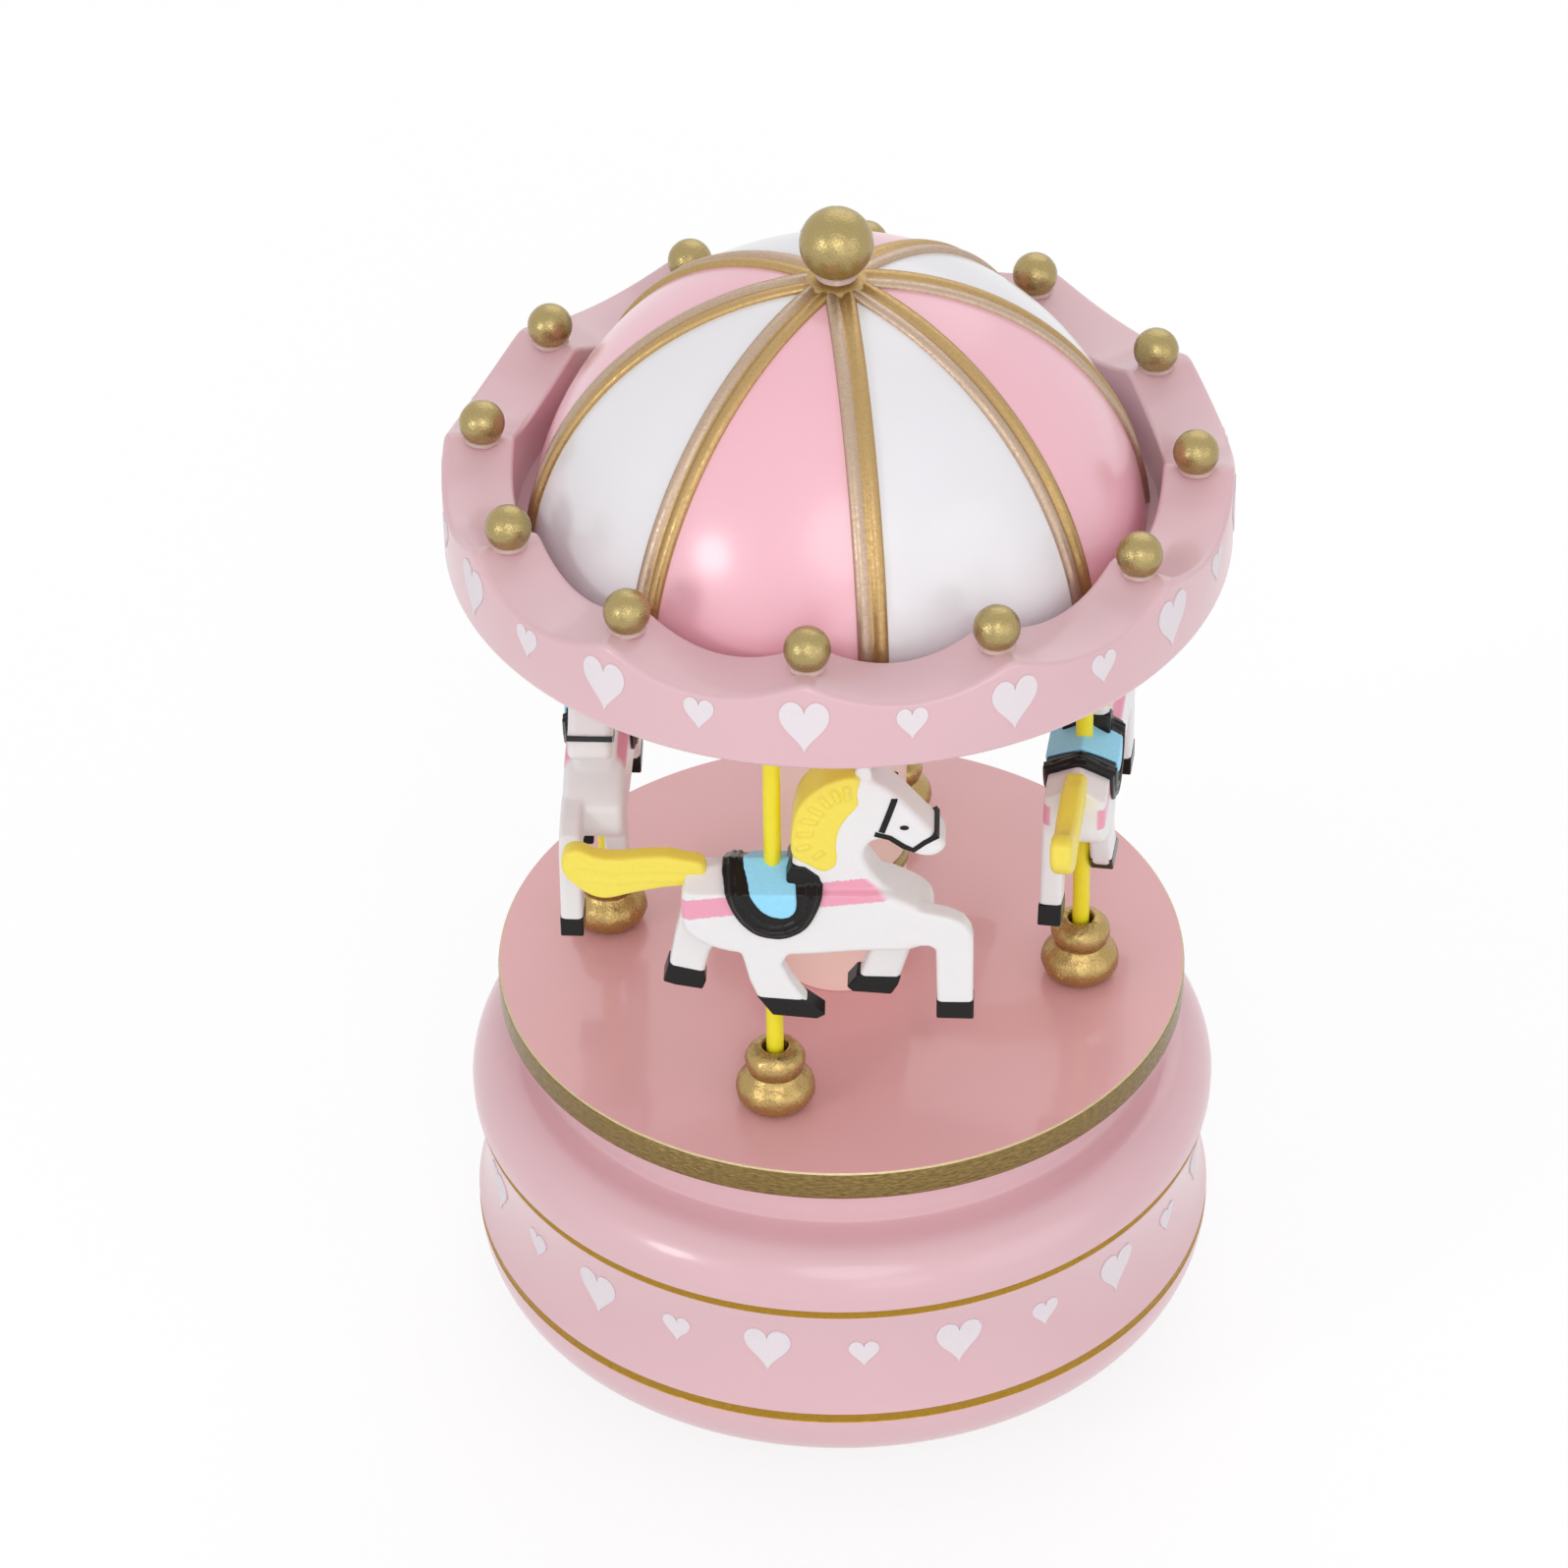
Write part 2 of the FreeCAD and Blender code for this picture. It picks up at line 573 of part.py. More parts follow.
ring = turned((ring_inner_radius, ring_bottom), (ring_radius - 1.2, ring_bottom),
              (ring_radius - 0.35, ring_bottom + 0.35, ring_radius, ring_bottom + 1.2),
              (ring_radius, ring_peak), (ring_inner_radius, ring_peak))
half_chord = (ring_inner_radius + ring_radius) / 2 * math.sin(math.pi / ball_count)
scallop_radius = (half_chord ** 2 + scallop_depth ** 2) / (2 * scallop_depth)
balls = []
for n in range(ball_count):
    angle = ball_phase + 360 / ball_count * n
    foot = V(ring_inner_radius / 2, 0, ring_peak - scallop_depth + scallop_radius)
    cut = Part.makeCylinder(scallop_radius, ring_radius, foot, V(1, 0, 0))
    ring = ring.cut(spun(cut, angle + 180 / ball_count))
    balls.append(Part.makeSphere(ball_radius, polar(ball_circle, angle, ball_z)))
for ball in balls:
    ring = ring.cut(ball)
save("canopy_ring", ring)
save("crown_balls", group(balls))

centre = V(0, 0, dome_centre_z)
above = cyl(dome_radius + 5, floor_top, dome_top + 5)
dome = Part.makeSphere(dome_radius, centre).cut(Part.makeSphere(dome_radius - dome_wall, centre))
dome = dome.common(above)
bars = []
bar_y = (rib_bar + rib_groove) / 2
for n in range(rib_count):
    for side in (-bar_y, bar_y):
        bar = box(2.0, dome_radius + 5, side - rib_bar / 2, side + rib_bar / 2, floor_top, dome_top + 5)
        bars.append(spun(bar, rib_phase + 360 / rib_count * n))
skin = Part.makeSphere(dome_radius + rib_height, centre).cut(Part.makeSphere(dome_radius - 0.5, centre))
ribs = [skin.common(bar) for bar in bars]
dome = dome.multiFuse(ribs).cut(cyl(finial_peg_radius, dome_top - 5, dome_top + 5))
collar_z = dome_top - 0.6
collar_top = finial_z - finial_radius + 1.2
dome = dome.cut(cyl(collar_radius, collar_z, dome_top + 5))
save("dome", dome)
finial = Part.makeSphere(finial_radius, V(0, 0, finial_z))
collar = cyl(collar_radius, collar_z, collar_top).cut(finial)
collar = collar.cut(cyl(finial_peg_radius, collar_z, collar_top))
save("finial_collar", collar)
save("finial_ball", finial.fuse(cyl(finial_peg_radius, dome_top - 4, finial_z)).removeSplitter())

# Sockets: two stacked lobes with an oversize hole
h = turntable_top
socket = turned((pole_hole, h), (socket_low_radius - 1.0, h),
                (socket_low_radius, h + socket_waist / 2, socket_high_radius - 0.5, h + socket_waist),
                (socket_high_radius, h + (socket_waist + socket_height) / 2,
                 socket_high_radius - 1.0, h + socket_height),
                (pole_hole, h + socket_height))
for n, angle in enumerate(pole_angles):
    p = polar(pole_circle, angle)
    save("pole_socket_" + str(n + 1), moved(socket, p.x, p.y))

# Horse: outlines in its own side view, forward +X, up from the turntable's top, the pole's axis at X 0
horse_room = 71.4
horse_circle = 33.5
horse_facings = (-2.0, 81.0, 178.0, 267.0)
trunk = ((-9.8, 40.6), (-11.7, 38.9), (-12.1, 35.5), (-11.4, 32.1), (-8.2, 29.6), (-3.0, 28.4),
         (4.0, 28.4), (12.0, 29.1), (18.6, 29.5), (21.2, 31.8), (20.9, 34.9), (17.6, 37.5),
         (11.5, 39.8), (2.0, 40.5))
head = ((2.8, 41.5), (3.0, 45.0), (3.2, 48.9), (4.3, 52.6), (7.0, 55.6), (10.4, 57.0),
        (13.4, 56.7), (16.2, 54.5), (19.2, 51.0), (21.7, 47.9), (22.9, 46.0), (21.6, 44.5),
        (19.4, 44.5), (17.2, 45.8), (15.0, 47.0), (13.0, 46.5), (12.2, 44.4), (12.9, 42.2),
        (14.6, 39.6), (16.6, 37.4), (14.5, 34.2), (5.5, 35.2))
ear = ((10.6, 56.0), (11.2, 58.3), (12.2, 59.6), (13.1, 58.2), (13.4, 56.0))
tail = ((-9.0, 41.4), (-11.8, 42.3), (-14.1, 42.8), (-17.5, 42.6), (-20.6, 42.3), (-23.3, 42.6),
        (-25.6, 43.7), (-27.4, 43.1), (-28.0, 40.9), (-27.2, 38.8), (-24.8, 36.5), (-22.2, 35.6),
        (-18.7, 36.5), (-14.9, 37.4), (-11.8, 37.8), (-9.0, 37.7))
saddle = ((-6.4, 41.2), (-6.4, 39.8), (-5.6, 36.9), (-4.4, 34.5), (-2.5, 32.5), (-0.3, 31.7),
          (2.0, 31.8), (4.4, 33.3), (5.9, 36.0), (6.7, 39.0), (6.2, 41.2), (1.6, 41.3), (-2.5, 41.1))
pommel = ((2.0, 39.0), (1.9, 41.3), (3.0, 42.8), (4.6, 42.6), (6.0, 41.3), (5.9, 39.0))
fore_outer = ((17.6, 35.9), (19.6, 36.2), (23.5, 35.2), (25.4, 34.2), (26.4, 32.5), (26.7, 31.2),
              (26.7, 18.2), (21.9, 18.3), (21.7, 29.7), (20.8, 30.3), (17.2, 30.3))
fore_inner = ((14.2, 30.8), (12.8, 24.6), (11.4, 20.5), (9.8, 18.9), (10.5, 18.2), (15.7, 17.8),
              (16.5, 19.3), (18.1, 24.7), (19.8, 30.8))
hind_outer = ((-4.8, 31.0), (-4.0, 28.1), (-3.1, 24.1), (-2.0, 21.2), (0.0, 18.6), (5.8, 18.0),
              (6.9, 18.6), (4.6, 20.5), (2.5, 23.9), (1.2, 26.9), (2.2, 28.9), (4.2, 31.0))
hind_inner = ((-11.0, 36.3), (-11.8, 33.9), (-12.5, 30.4), (-13.3, 27.0), (-13.7, 24.5), (-14.1, 22.2),
              (-14.9, 19.6), (-13.4, 19.1), (-9.7, 18.4), (-9.3, 19.7), (-9.5, 20.5), (-9.1, 22.5),
              (-8.6, 24.5), (-6.5, 28.8), (-4.5, 31.5))
trunk_half = 4.2
head_half = 3.0
tail_half = 1.5
saddle_half = 4.7
pommel_half = 1.7
trunk_ridge = 40.9
saddle_ridge = 41.7
back_fall = 0.55
ear_near = 0.9
ear_far = 2.4
leg_near = 1.3
leg_far = 4.3
horse_scale = min((ring_bottom - turntable_top) / horse_room, pole_circle / horse_circle)


def slab(points, y0, y1, rounding, smooth=True):
    """Side-view outline drawn out across the horse, with its rim rounded."""
    corners = [V(x, y0, z) for x, z in points]
    if smooth:
        curve = Part.BSplineCurve()
        curve.interpolate(corners, PeriodicFlag=True)
        wire = Part.Wire([curve.toShape()])
    else:
        wire = Part.makePolygon(corners + corners[:1])
    body = Part.Face(wire).extrude(V(0, y1 - y0, 0))
    rim = [e for e in body.Edges if e.BoundBox.YLength < 0.01]
    return body.makeFillet(rounding, rim) if rounding else body


def ridged(body, ridge):
    """Back cut to a low roof: two slopes that fall from a ridge along the middle."""
    reach = saddle_half + 1
    for side in (-1, 1):
        corners = [V(-horse_room, 0, ridge), V(-horse_room, side * reach, ridge - back_fall * reach),
                   V(-horse_room, side * reach, horse_room), V(-horse_room, 0, horse_room)]
        waste = Part.Face(Part.makePolygon(corners + corners[:1])).extrude(V(2 * horse_room, 0, 0))
        body = body.cut(waste)
    return body


through = cyl(pole_radius / horse_scale, 0, horse_room)
horse = ridged(slab(trunk, -trunk_half, trunk_half, 1.6), trunk_ridge).cut(through)
horse = horse.fuse(ridged(slab(saddle, -saddle_half, saddle_half, 0.4), saddle_ridge).cut(through))
horse = horse.fuse(slab(pommel, -pommel_half, pommel_half, 0.0, False).cut(through))
horse = horse.fuse(slab(head, -head_half, head_half, 0.6))
horse = horse.fuse(slab(tail, -tail_half, tail_half, 0.8))
for leg in (fore_outer, hind_outer):
    horse = horse.fuse(slab(leg, -leg_far, -leg_near, 0.5, False))
for leg in (fore_inner, hind_inner):
    horse = horse.fuse(slab(leg, leg_near, leg_far, 0.5, False))
for near, far in ((-ear_far, -ear_near), (ear_near, ear_far)):
    horse = horse.fuse(slab(ear, near, far, 0.0, False))
horse = moved(horse.scaled(horse_scale), 0, 0, turntable_top)
pole = cyl(pole_radius, pole_bottom, pole_top)
for n, angle in enumerate(pole_angles):
    p = polar(pole_circle, angle)
    save("horse_" + str(n + 1), moved(spun(horse, horse_facings[n]), p.x, p.y))
    save("pole_" + str(n + 1), moved(pole, p.x, p.y))
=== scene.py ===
"""Carousel music box: painted drum, turntable with four horses, column, scalloped canopy and ribbed dome."""
import math
import bpy
from mathutils import Matrix, Vector


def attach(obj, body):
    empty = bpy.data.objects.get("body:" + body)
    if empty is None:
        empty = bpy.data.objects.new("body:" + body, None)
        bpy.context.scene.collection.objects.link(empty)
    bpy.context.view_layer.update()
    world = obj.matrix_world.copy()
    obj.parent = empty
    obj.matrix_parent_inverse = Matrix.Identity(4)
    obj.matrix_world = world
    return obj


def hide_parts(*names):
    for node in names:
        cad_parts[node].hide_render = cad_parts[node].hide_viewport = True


bl_info = {
    "name": "Carousel music box",
    "version": (1, 0, 0),
    "blender": (4, 5, 0),
    "location": "3D View > Sidebar > Music box",
    "description": "Models the visible pieces of a carousel music box round its packed solids",
    "category": "Object",
}

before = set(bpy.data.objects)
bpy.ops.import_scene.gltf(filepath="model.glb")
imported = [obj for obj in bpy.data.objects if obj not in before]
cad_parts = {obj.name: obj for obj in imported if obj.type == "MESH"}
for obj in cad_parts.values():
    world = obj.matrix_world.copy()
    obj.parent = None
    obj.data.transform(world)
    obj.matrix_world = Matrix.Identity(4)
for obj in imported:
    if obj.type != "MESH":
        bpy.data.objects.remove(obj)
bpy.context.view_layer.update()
MM = 0.001


def linear(code):
    """sRGB hex colour as linear red, green, blue and alpha."""
    values = [int(code[i:i + 2], 16) / 255 for i in (0, 2, 4)]
    return [v / 12.92 if v <= 0.04045 else ((v + 0.055) / 1.055) ** 2.4 for v in values] + [1.0]


def length(label, words, millimetres):
    """Size that a user can change, written in millimetres."""
    return bpy.props.FloatProperty(name=label, description=words, default=millimetres * MM, unit="LENGTH",
                                   precision=5)


def angle(label, words, degrees):
    """Direction round the axis that a user can change, written in degrees."""
    return bpy.props.FloatProperty(name=label, description=words, default=math.radians(degrees),
                                   subtype="ANGLE")


def colour(label, words, code):
    """Colour that a user can change, written as an sRGB hex value."""
    return bpy.props.FloatVectorProperty(name=label, description=words, default=linear(code), size=4,
                                         min=0.0, max=1.0, subtype="COLOR")


class MusicBoxSizes(bpy.types.PropertyGroup):
    """Sizes and places of the visible pieces"""
    drum_radius: length("Drum radius", "Radius of the drum at its lower gold line", 52.0)
    drum_bottom: length("Drum bottom", "Height of the drum's lower edge", 11.9)
    line_low: length("Lower line", "Height of the lower gold line", 22.1)
    line_high: length("Upper line", "Height of the upper gold line", 41.0)
    neck_radius: length("Neck radius", "Radius of the drum's neck under the turntable", 43.2)
    turntable_radius: length("Turntable radius", "Radius of the turning platform", 47.9)
    turntable_top: length("Turntable top", "Height of the platform's upper face", 62.7)
    pole_circle: length("Pole circle", "Distance of each pole from the axis", 33.5)
    pole_1: angle("Pole 1", "Direction of the front pole", -106.2)
    pole_2: angle("Pole 2", "Direction of the right pole", -9.0)
    pole_3: angle("Pole 3", "Direction of the rear pole", 76.2)
    pole_4: angle("Pole 4", "Direction of the left pole", 166.2)
    facing_1: angle("Facing 1", "Direction that the front horse looks in", -2.0)
    facing_2: angle("Facing 2", "Direction that the right horse looks in", 81.0)
    facing_3: angle("Facing 3", "Direction that the rear horse looks in", 178.0)
    facing_4: angle("Facing 4", "Direction that the left horse looks in", 267.0)
    pole_radius: length("Pole radius", "Radius of the yellow rods", 1.18)
    column_radius: length("Column radius", "Radius of the middle column", 9.1)
    ring_radius: length("Ring radius", "Outer radius of the canopy ring", 52.5)
    ring_inner: length("Ring inner radius", "Inner radius of the canopy ring", 43.0)
    ring_bottom: length("Ring bottom", "Height of the canopy ring's lower edge", 134.1)
    ring_peak: length("Ring peak", "Height of the scallops' peaks", 147.5)
    scallop_depth: length("Scallop depth", "Drop from a peak to the dip between two peaks", 3.2)
    ball_circle: length("Ball circle", "Distance of each crown ball from the axis", 47.3)
    ball_radius: length("Ball radius", "Radius of the crown balls", 3.05)
    ball_height: length("Ball height", "Height of the crown balls' centres", 149.7)
    ball_phase: angle("Ball phase", "Direction of the first crown ball", -95.5)
    dome_radius: length("Dome radius", "Radius of the round dome", 41.2)
    dome_centre: length("Dome centre", "Height of the dome's centre", 133.2)
    dome_foot: length("Dome foot", "Height of the dome's lower edge", 136.9)
    rib_phase: angle("Rib phase", "Direction of the first gold rib", -84.3)
    finial_radius: length("Finial radius", "Radius of the ball on top", 4.85)
    finial_height: length("Finial height", "Height of the top ball's centre", 180.15)


class MusicBoxColours(bpy.types.PropertyGroup):
    """Colours of the paints and plastics"""
    pink: colour("Pink", "Lacquer of the drum and the canopy ring", "E3BAC1")
    rose: colour("Rose", "Lacquer of the turntable's top", "E9AEB1")
    dome_pink: colour("Dome pink", "Pink panels of the dome", "FBC0CE")
    dome_white: colour("Dome white", "White panels of the dome", "F1EFF3")
    gold: colour("Gold", "Flaked gold paint of the balls and the column's ring", "AB9867")
    # Same gold as the balls made warmer: the extra warmth is a painted reflection of the pink turntable and
    # drum
    socket_gold: colour("Socket gold", "Warmer gold paint of the pole sockets", "B2965F")
    rib_gold: colour("Rib gold", "Satin gold of the dome's ribs", "B89968")
    edge_gold: colour("Edge gold", "Brushed gold of the turntable's edge", "846E41")
    line_gold: colour("Line gold", "Gold paint of the drum's two lines", "AB842D")
    yellow: colour("Yellow", "Manes and tails", "F6E255")
    rod: colour("Rod yellow", "Moulded poles", "F6E62A")
    white: colour("White", "Moulded horses", "EFEDEE")
    black: colour("Black", "Saddles, hooves and bridles", "171514")
    blue: colour("Blue", "Saddle blankets", "98E0FF")
    stripe: colour("Stripe", "Pink stripe along a horse", "F2A6BE")
    peach: colour("Peach", "Middle column", "FFE0D6")
    heart: colour("Heart", "Painted hearts", "EBE2E8")


def sizes():
    """Sizes of the music box in the open scene."""
    return bpy.context.scene.music_box_sizes


def colours():
    """Colours of the music box in the open scene."""
    return bpy.context.scene.music_box_colours


# Materials

def add(tree, kind, inputs=None, **settings):
    """One node with its settings, its input values and its links."""
    made = tree.nodes.new(kind)
    for name, value in settings.items():
        setattr(made, name, value)
    for name, value in (inputs or {}).items():
        if isinstance(value, bpy.types.NodeSocket):
            tree.links.new(value, made.inputs[name])
        else:
            made.inputs[name].default_value = value
    return made


def surface(name):
    """New material, and the tree and shader that its finish is built on."""
    material = bpy.data.materials.new(name)
    material.use_nodes = True
    tree = material.node_tree
    return material, tree, tree.nodes["Principled BSDF"]


def per_mm(millimetres):
    """Texture scale that gives features of this size."""
    return 1.0 / (millimetres * MM)


def darker(rgba, share):
    """Opaque colour with this share of the light."""
    return [c * share for c in rgba[:3]] + [1.0]


def speckled(tree, rgba, share, millimetres, detail=3.0):
    """Colour that wanders a little round its middle value, in patches of this size."""
    place = add(tree, "ShaderNodeTexCoord").outputs["Object"]
    cloud = add(tree, "ShaderNodeTexNoise", {"Vector": place, "Scale": per_mm(millimetres), "Detail": detail})
    mix = add(tree, "ShaderNodeMix", {"Factor": cloud.outputs["Fac"], "A": darker(rgba, 1 - share),
                                      "B": darker(rgba, 1 + share)}, data_type="RGBA")
    return mix.outputs[2], place


def lacquered_resin(name, rgba, rough=0.34, gloss=0.25, blur=0.12):
    """Cast resin under sprayed lacquer: an even colour, soft wide highlights and a faint orange-peel skin."""
    material, tree, shader = surface(name)
    shade, place = speckled(tree, rgba, 0.018, 9.0)
    peel = add(tree, "ShaderNodeTexNoise", {"Vector": place, "Scale": per_mm(1.3), "Detail": 2.0})
    skin = add(tree, "ShaderNodeBump", {"Height": peel.outputs["Fac"], "Strength": 0.05,
                                        "Distance": 0.05 * MM})
    tree.links.new(shade, shader.inputs["Base Color"])
    tree.links.new(skin.outputs["Normal"], shader.inputs["Normal"])
    shader.inputs["Roughness"].default_value = rough
    shader.inputs["IOR"].default_value = 1.5
    shader.inputs["Coat Weight"].default_value = gloss
    shader.inputs["Coat Roughness"].default_value = blur
    return material


def gold_paint(name, rgba, flake_mm=0.35, rough=0.34, dents=0.5):
    """Gold paint laid on by brush: glittering flakes, a streaky sheen and dents that break the highlight."""
    material, tree, shader = surface(name)
    shade, place = speckled(tree, rgba, 0.25, flake_mm, 6.0)
    flakes = add(tree, "ShaderNodeTexNoise", {"Vector": place, "Scale": per_mm(flake_mm * 1.8),
                                              "Detail": 6.0}).outputs["Fac"]
    sheen = add(tree, "ShaderNodeMapRange", {"Value": flakes, "From Min": 0.3, "From Max": 0.7,
                                             "To Min": rough - 0.1, "To Max": rough + 0.14})
    bump = add(tree, "ShaderNodeBump", {"Height": flakes, "Strength": dents, "Distance": 0.12 * MM})
    tree.links.new(shade, shader.inputs["Base Color"])
    tree.links.new(sheen.outputs["Result"], shader.inputs["Roughness"])
    tree.links.new(bump.outputs["Normal"], shader.inputs["Normal"])
    shader.inputs["Metallic"].default_value = 0.85
    return material


def brushed_gold(name, rgba):
    """Gold brushed round the turntable's edge: fine crinkles along the rim that glint."""
    stretch, streak_mm = 2.5, 0.42
    material, tree, shader = surface(name)
    place = add(tree, "ShaderNodeTexCoord").outputs["Object"]
    spot = add(tree, "ShaderNodeSeparateXYZ", {0: place})
    turn = add(tree, "ShaderNodeMath", {0: spot.outputs[1], 1: spot.outputs[0]}, operation="ARCTAN2")
    along = add(tree, "ShaderNodeMath", {0: turn.outputs[0], 1: sizes().turntable_radius / stretch},
                operation="MULTIPLY")
    strip = add(tree, "ShaderNodeCombineXYZ", {0: along.outputs[0], 1: spot.outputs[2]})
    streaks = add(tree, "ShaderNodeTexNoise", {"Vector": strip.outputs[0], "Scale": per_mm(streak_mm),
                                               "Detail": 6.0}).outputs["Fac"]
    light = add(tree, "ShaderNodeMapRange", {"Value": streaks, "From Min": 0.3, "From Max": 0.72})
    gold = add(tree, "ShaderNodeMix", {"Factor": light.outputs[0], "A": darker(rgba, 0.75),
                                       "B": darker(rgba, 1.4)}, data_type="RGBA")
    bump = add(tree, "ShaderNodeBump", {"Height": streaks, "Strength": 1.0, "Distance": 0.3 * MM})
    tree.links.new(gold.outputs[2], shader.inputs["Base Color"])
    tree.links.new(bump.outputs[0], shader.inputs["Normal"])
    shader.inputs["Metallic"].default_value = 0.9
    shader.inputs["Roughness"].default_value = 0.24
    return material


def moulded_plastic(name, rgba, rough=0.3, patch_mm=4.0, share=0.02, through=0.0):
    """Injection-moulded plastic: glossy, with a slight unevenness and a little light let through."""
    material, tree, shader = surface(name)
    shade, place = speckled(tree, rgba, share, patch_mm)
    grain = add(tree, "ShaderNodeTexNoise", {"Vector": place, "Scale": per_mm(0.9), "Detail": 3.0})
    bump = add(tree, "ShaderNodeBump", {"Height": grain.outputs["Fac"], "Strength": 0.08,
                                        "Distance": 0.05 * MM})
    tree.links.new(shade, shader.inputs["Base Color"])
    tree.links.new(bump.outputs["Normal"], shader.inputs["Normal"])
    shader.inputs["Roughness"].default_value = rough
    shader.inputs["IOR"].default_value = 1.49
    shader.inputs["Subsurface Weight"].default_value = through
    shader.inputs["Subsurface Scale"].default_value = 0.6 * MM
    return material


def striped_plastic(name, rgba, stripe):
    """Moulded white plastic with a pink stripe sprayed along each flank, ragged at its edges."""
    # The stripe's middle in the side view, its slope and its half width, in millimetres
    height, rise, half = 37.65, 0.13, 1.95
    # Where it ends on the shoulder, and the slant of that end
    front_end, end_slant = 13.8, 0.9
    # How far from the middle of the horse it starts, and how it climbs the back towards the neck
    flank, climb_by, climb_until = 3.2, 1.1, 8.0
    material = moulded_plastic(name, rgba, rough=0.3, patch_mm=5.0, share=0.012, through=0.15)
    tree = material.node_tree
    shader = tree.nodes["Principled BSDF"]
    ground = shader.inputs["Base Color"].links[0].from_socket
    place = add(tree, "ShaderNodeTexCoord").outputs["Object"]
    side = add(tree, "ShaderNodeSeparateXYZ", {0: add(tree, "ShaderNodeUVMap", uv_map="side").outputs[0]})
    forward, up = side.outputs[0], side.outputs[1]
    across = add(tree, "ShaderNodeAttribute", attribute_name="across").outputs["Fac"]
    grit = add(tree, "ShaderNodeTexNoise", {"Vector": place, "Scale": per_mm(0.5), "Detail": 4.0})
    centre = add(tree, "ShaderNodeMath", {0: forward, 1: rise, 2: height}, operation="MULTIPLY_ADD")
    offset = add(tree, "ShaderNodeMath", {0: up, 1: centre.outputs[0]}, operation="SUBTRACT").outputs[0]
    slant = add(tree, "ShaderNodeMath", {0: offset, 1: end_slant, 2: forward}, operation="MULTIPLY_ADD")
    width = add(tree, "ShaderNodeMath", {0: offset}, operation="ABSOLUTE")
    ragged = add(tree, "ShaderNodeMath", {0: grit.outputs["Fac"], 1: 0.7, 2: width.outputs[0]},
                 operation="MULTIPLY_ADD")
    climb = add(tree, "ShaderNodeMapRange", {"Value": forward, "From Min": 0.0, "From Max": climb_until,
                                             "To Min": 0.0, "To Max": climb_by})
    reach = add(tree, "ShaderNodeMath", {0: across, 1: climb.outputs[0]}, operation="ADD")
    mask = 1.0
    for value, outside, inside in ((ragged, half + 0.1, half - 0.1),
                                   (slant, front_end + 0.4, front_end - 0.4),
                                   (reach, flank - 0.2, flank + 0.2)):
        part = add(tree, "ShaderNodeMapRange", {"Value": value.outputs[0], "From Min": outside,
                                                "From Max": inside})
        mask = add(tree, "ShaderNodeMath", {0: mask, 1: part.outputs[0]}, operation="MULTIPLY").outputs[0]
    mix = add(tree, "ShaderNodeMix", {"Factor": mask, "A": ground, "B": stripe}, data_type="RGBA")
    tree.links.new(mix.outputs[2], shader.inputs["Base Color"])
    return material


def brushed_metal(name, rgba, rough, line_mm=0.4):
    """Machined metal: fine lines that spread the highlight."""
    material, tree, shader = surface(name)
    shade, place = speckled(tree, rgba, 0.06, line_mm)
    lines = add(tree, "ShaderNodeTexNoise", {"Vector": place, "Scale": per_mm(line_mm), "Detail": 4.0})
    spread = add(tree, "ShaderNodeMapRange", {"Value": lines.outputs["Fac"], "To Min": rough - 0.08,
                                              "To Max": rough + 0.1})
    tree.links.new(shade, shader.inputs["Base Color"])
    tree.links.new(spread.outputs["Result"], shader.inputs["Roughness"])
    shader.inputs["Metallic"].default_value = 1.0
    return material


def sprayed_paint(name, rgba, grit_mm=0.45, ragged=0.10, rough=0.45, sheen=0.5):
    """Paint sprayed through a mask: a grainy coat in which the ground shows as specks."""
    material, tree, shader = surface(name)
    shade, place = speckled(tree, rgba, ragged, grit_mm, 5.0)
    grit = add(tree, "ShaderNodeTexNoise", {"Vector": place, "Scale": per_mm(grit_mm), "Detail": 5.0})
    bump = add(tree, "ShaderNodeBump", {"Height": grit.outputs["Fac"], "Strength": 0.25,
                                        "Distance": 0.08 * MM})
    tree.links.new(shade, shader.inputs["Base Color"])
    tree.links.new(bump.outputs["Normal"], shader.inputs["Normal"])
    shader.inputs["Roughness"].default_value = rough
    shader.inputs["Specular IOR Level"].default_value = sheen
    return material


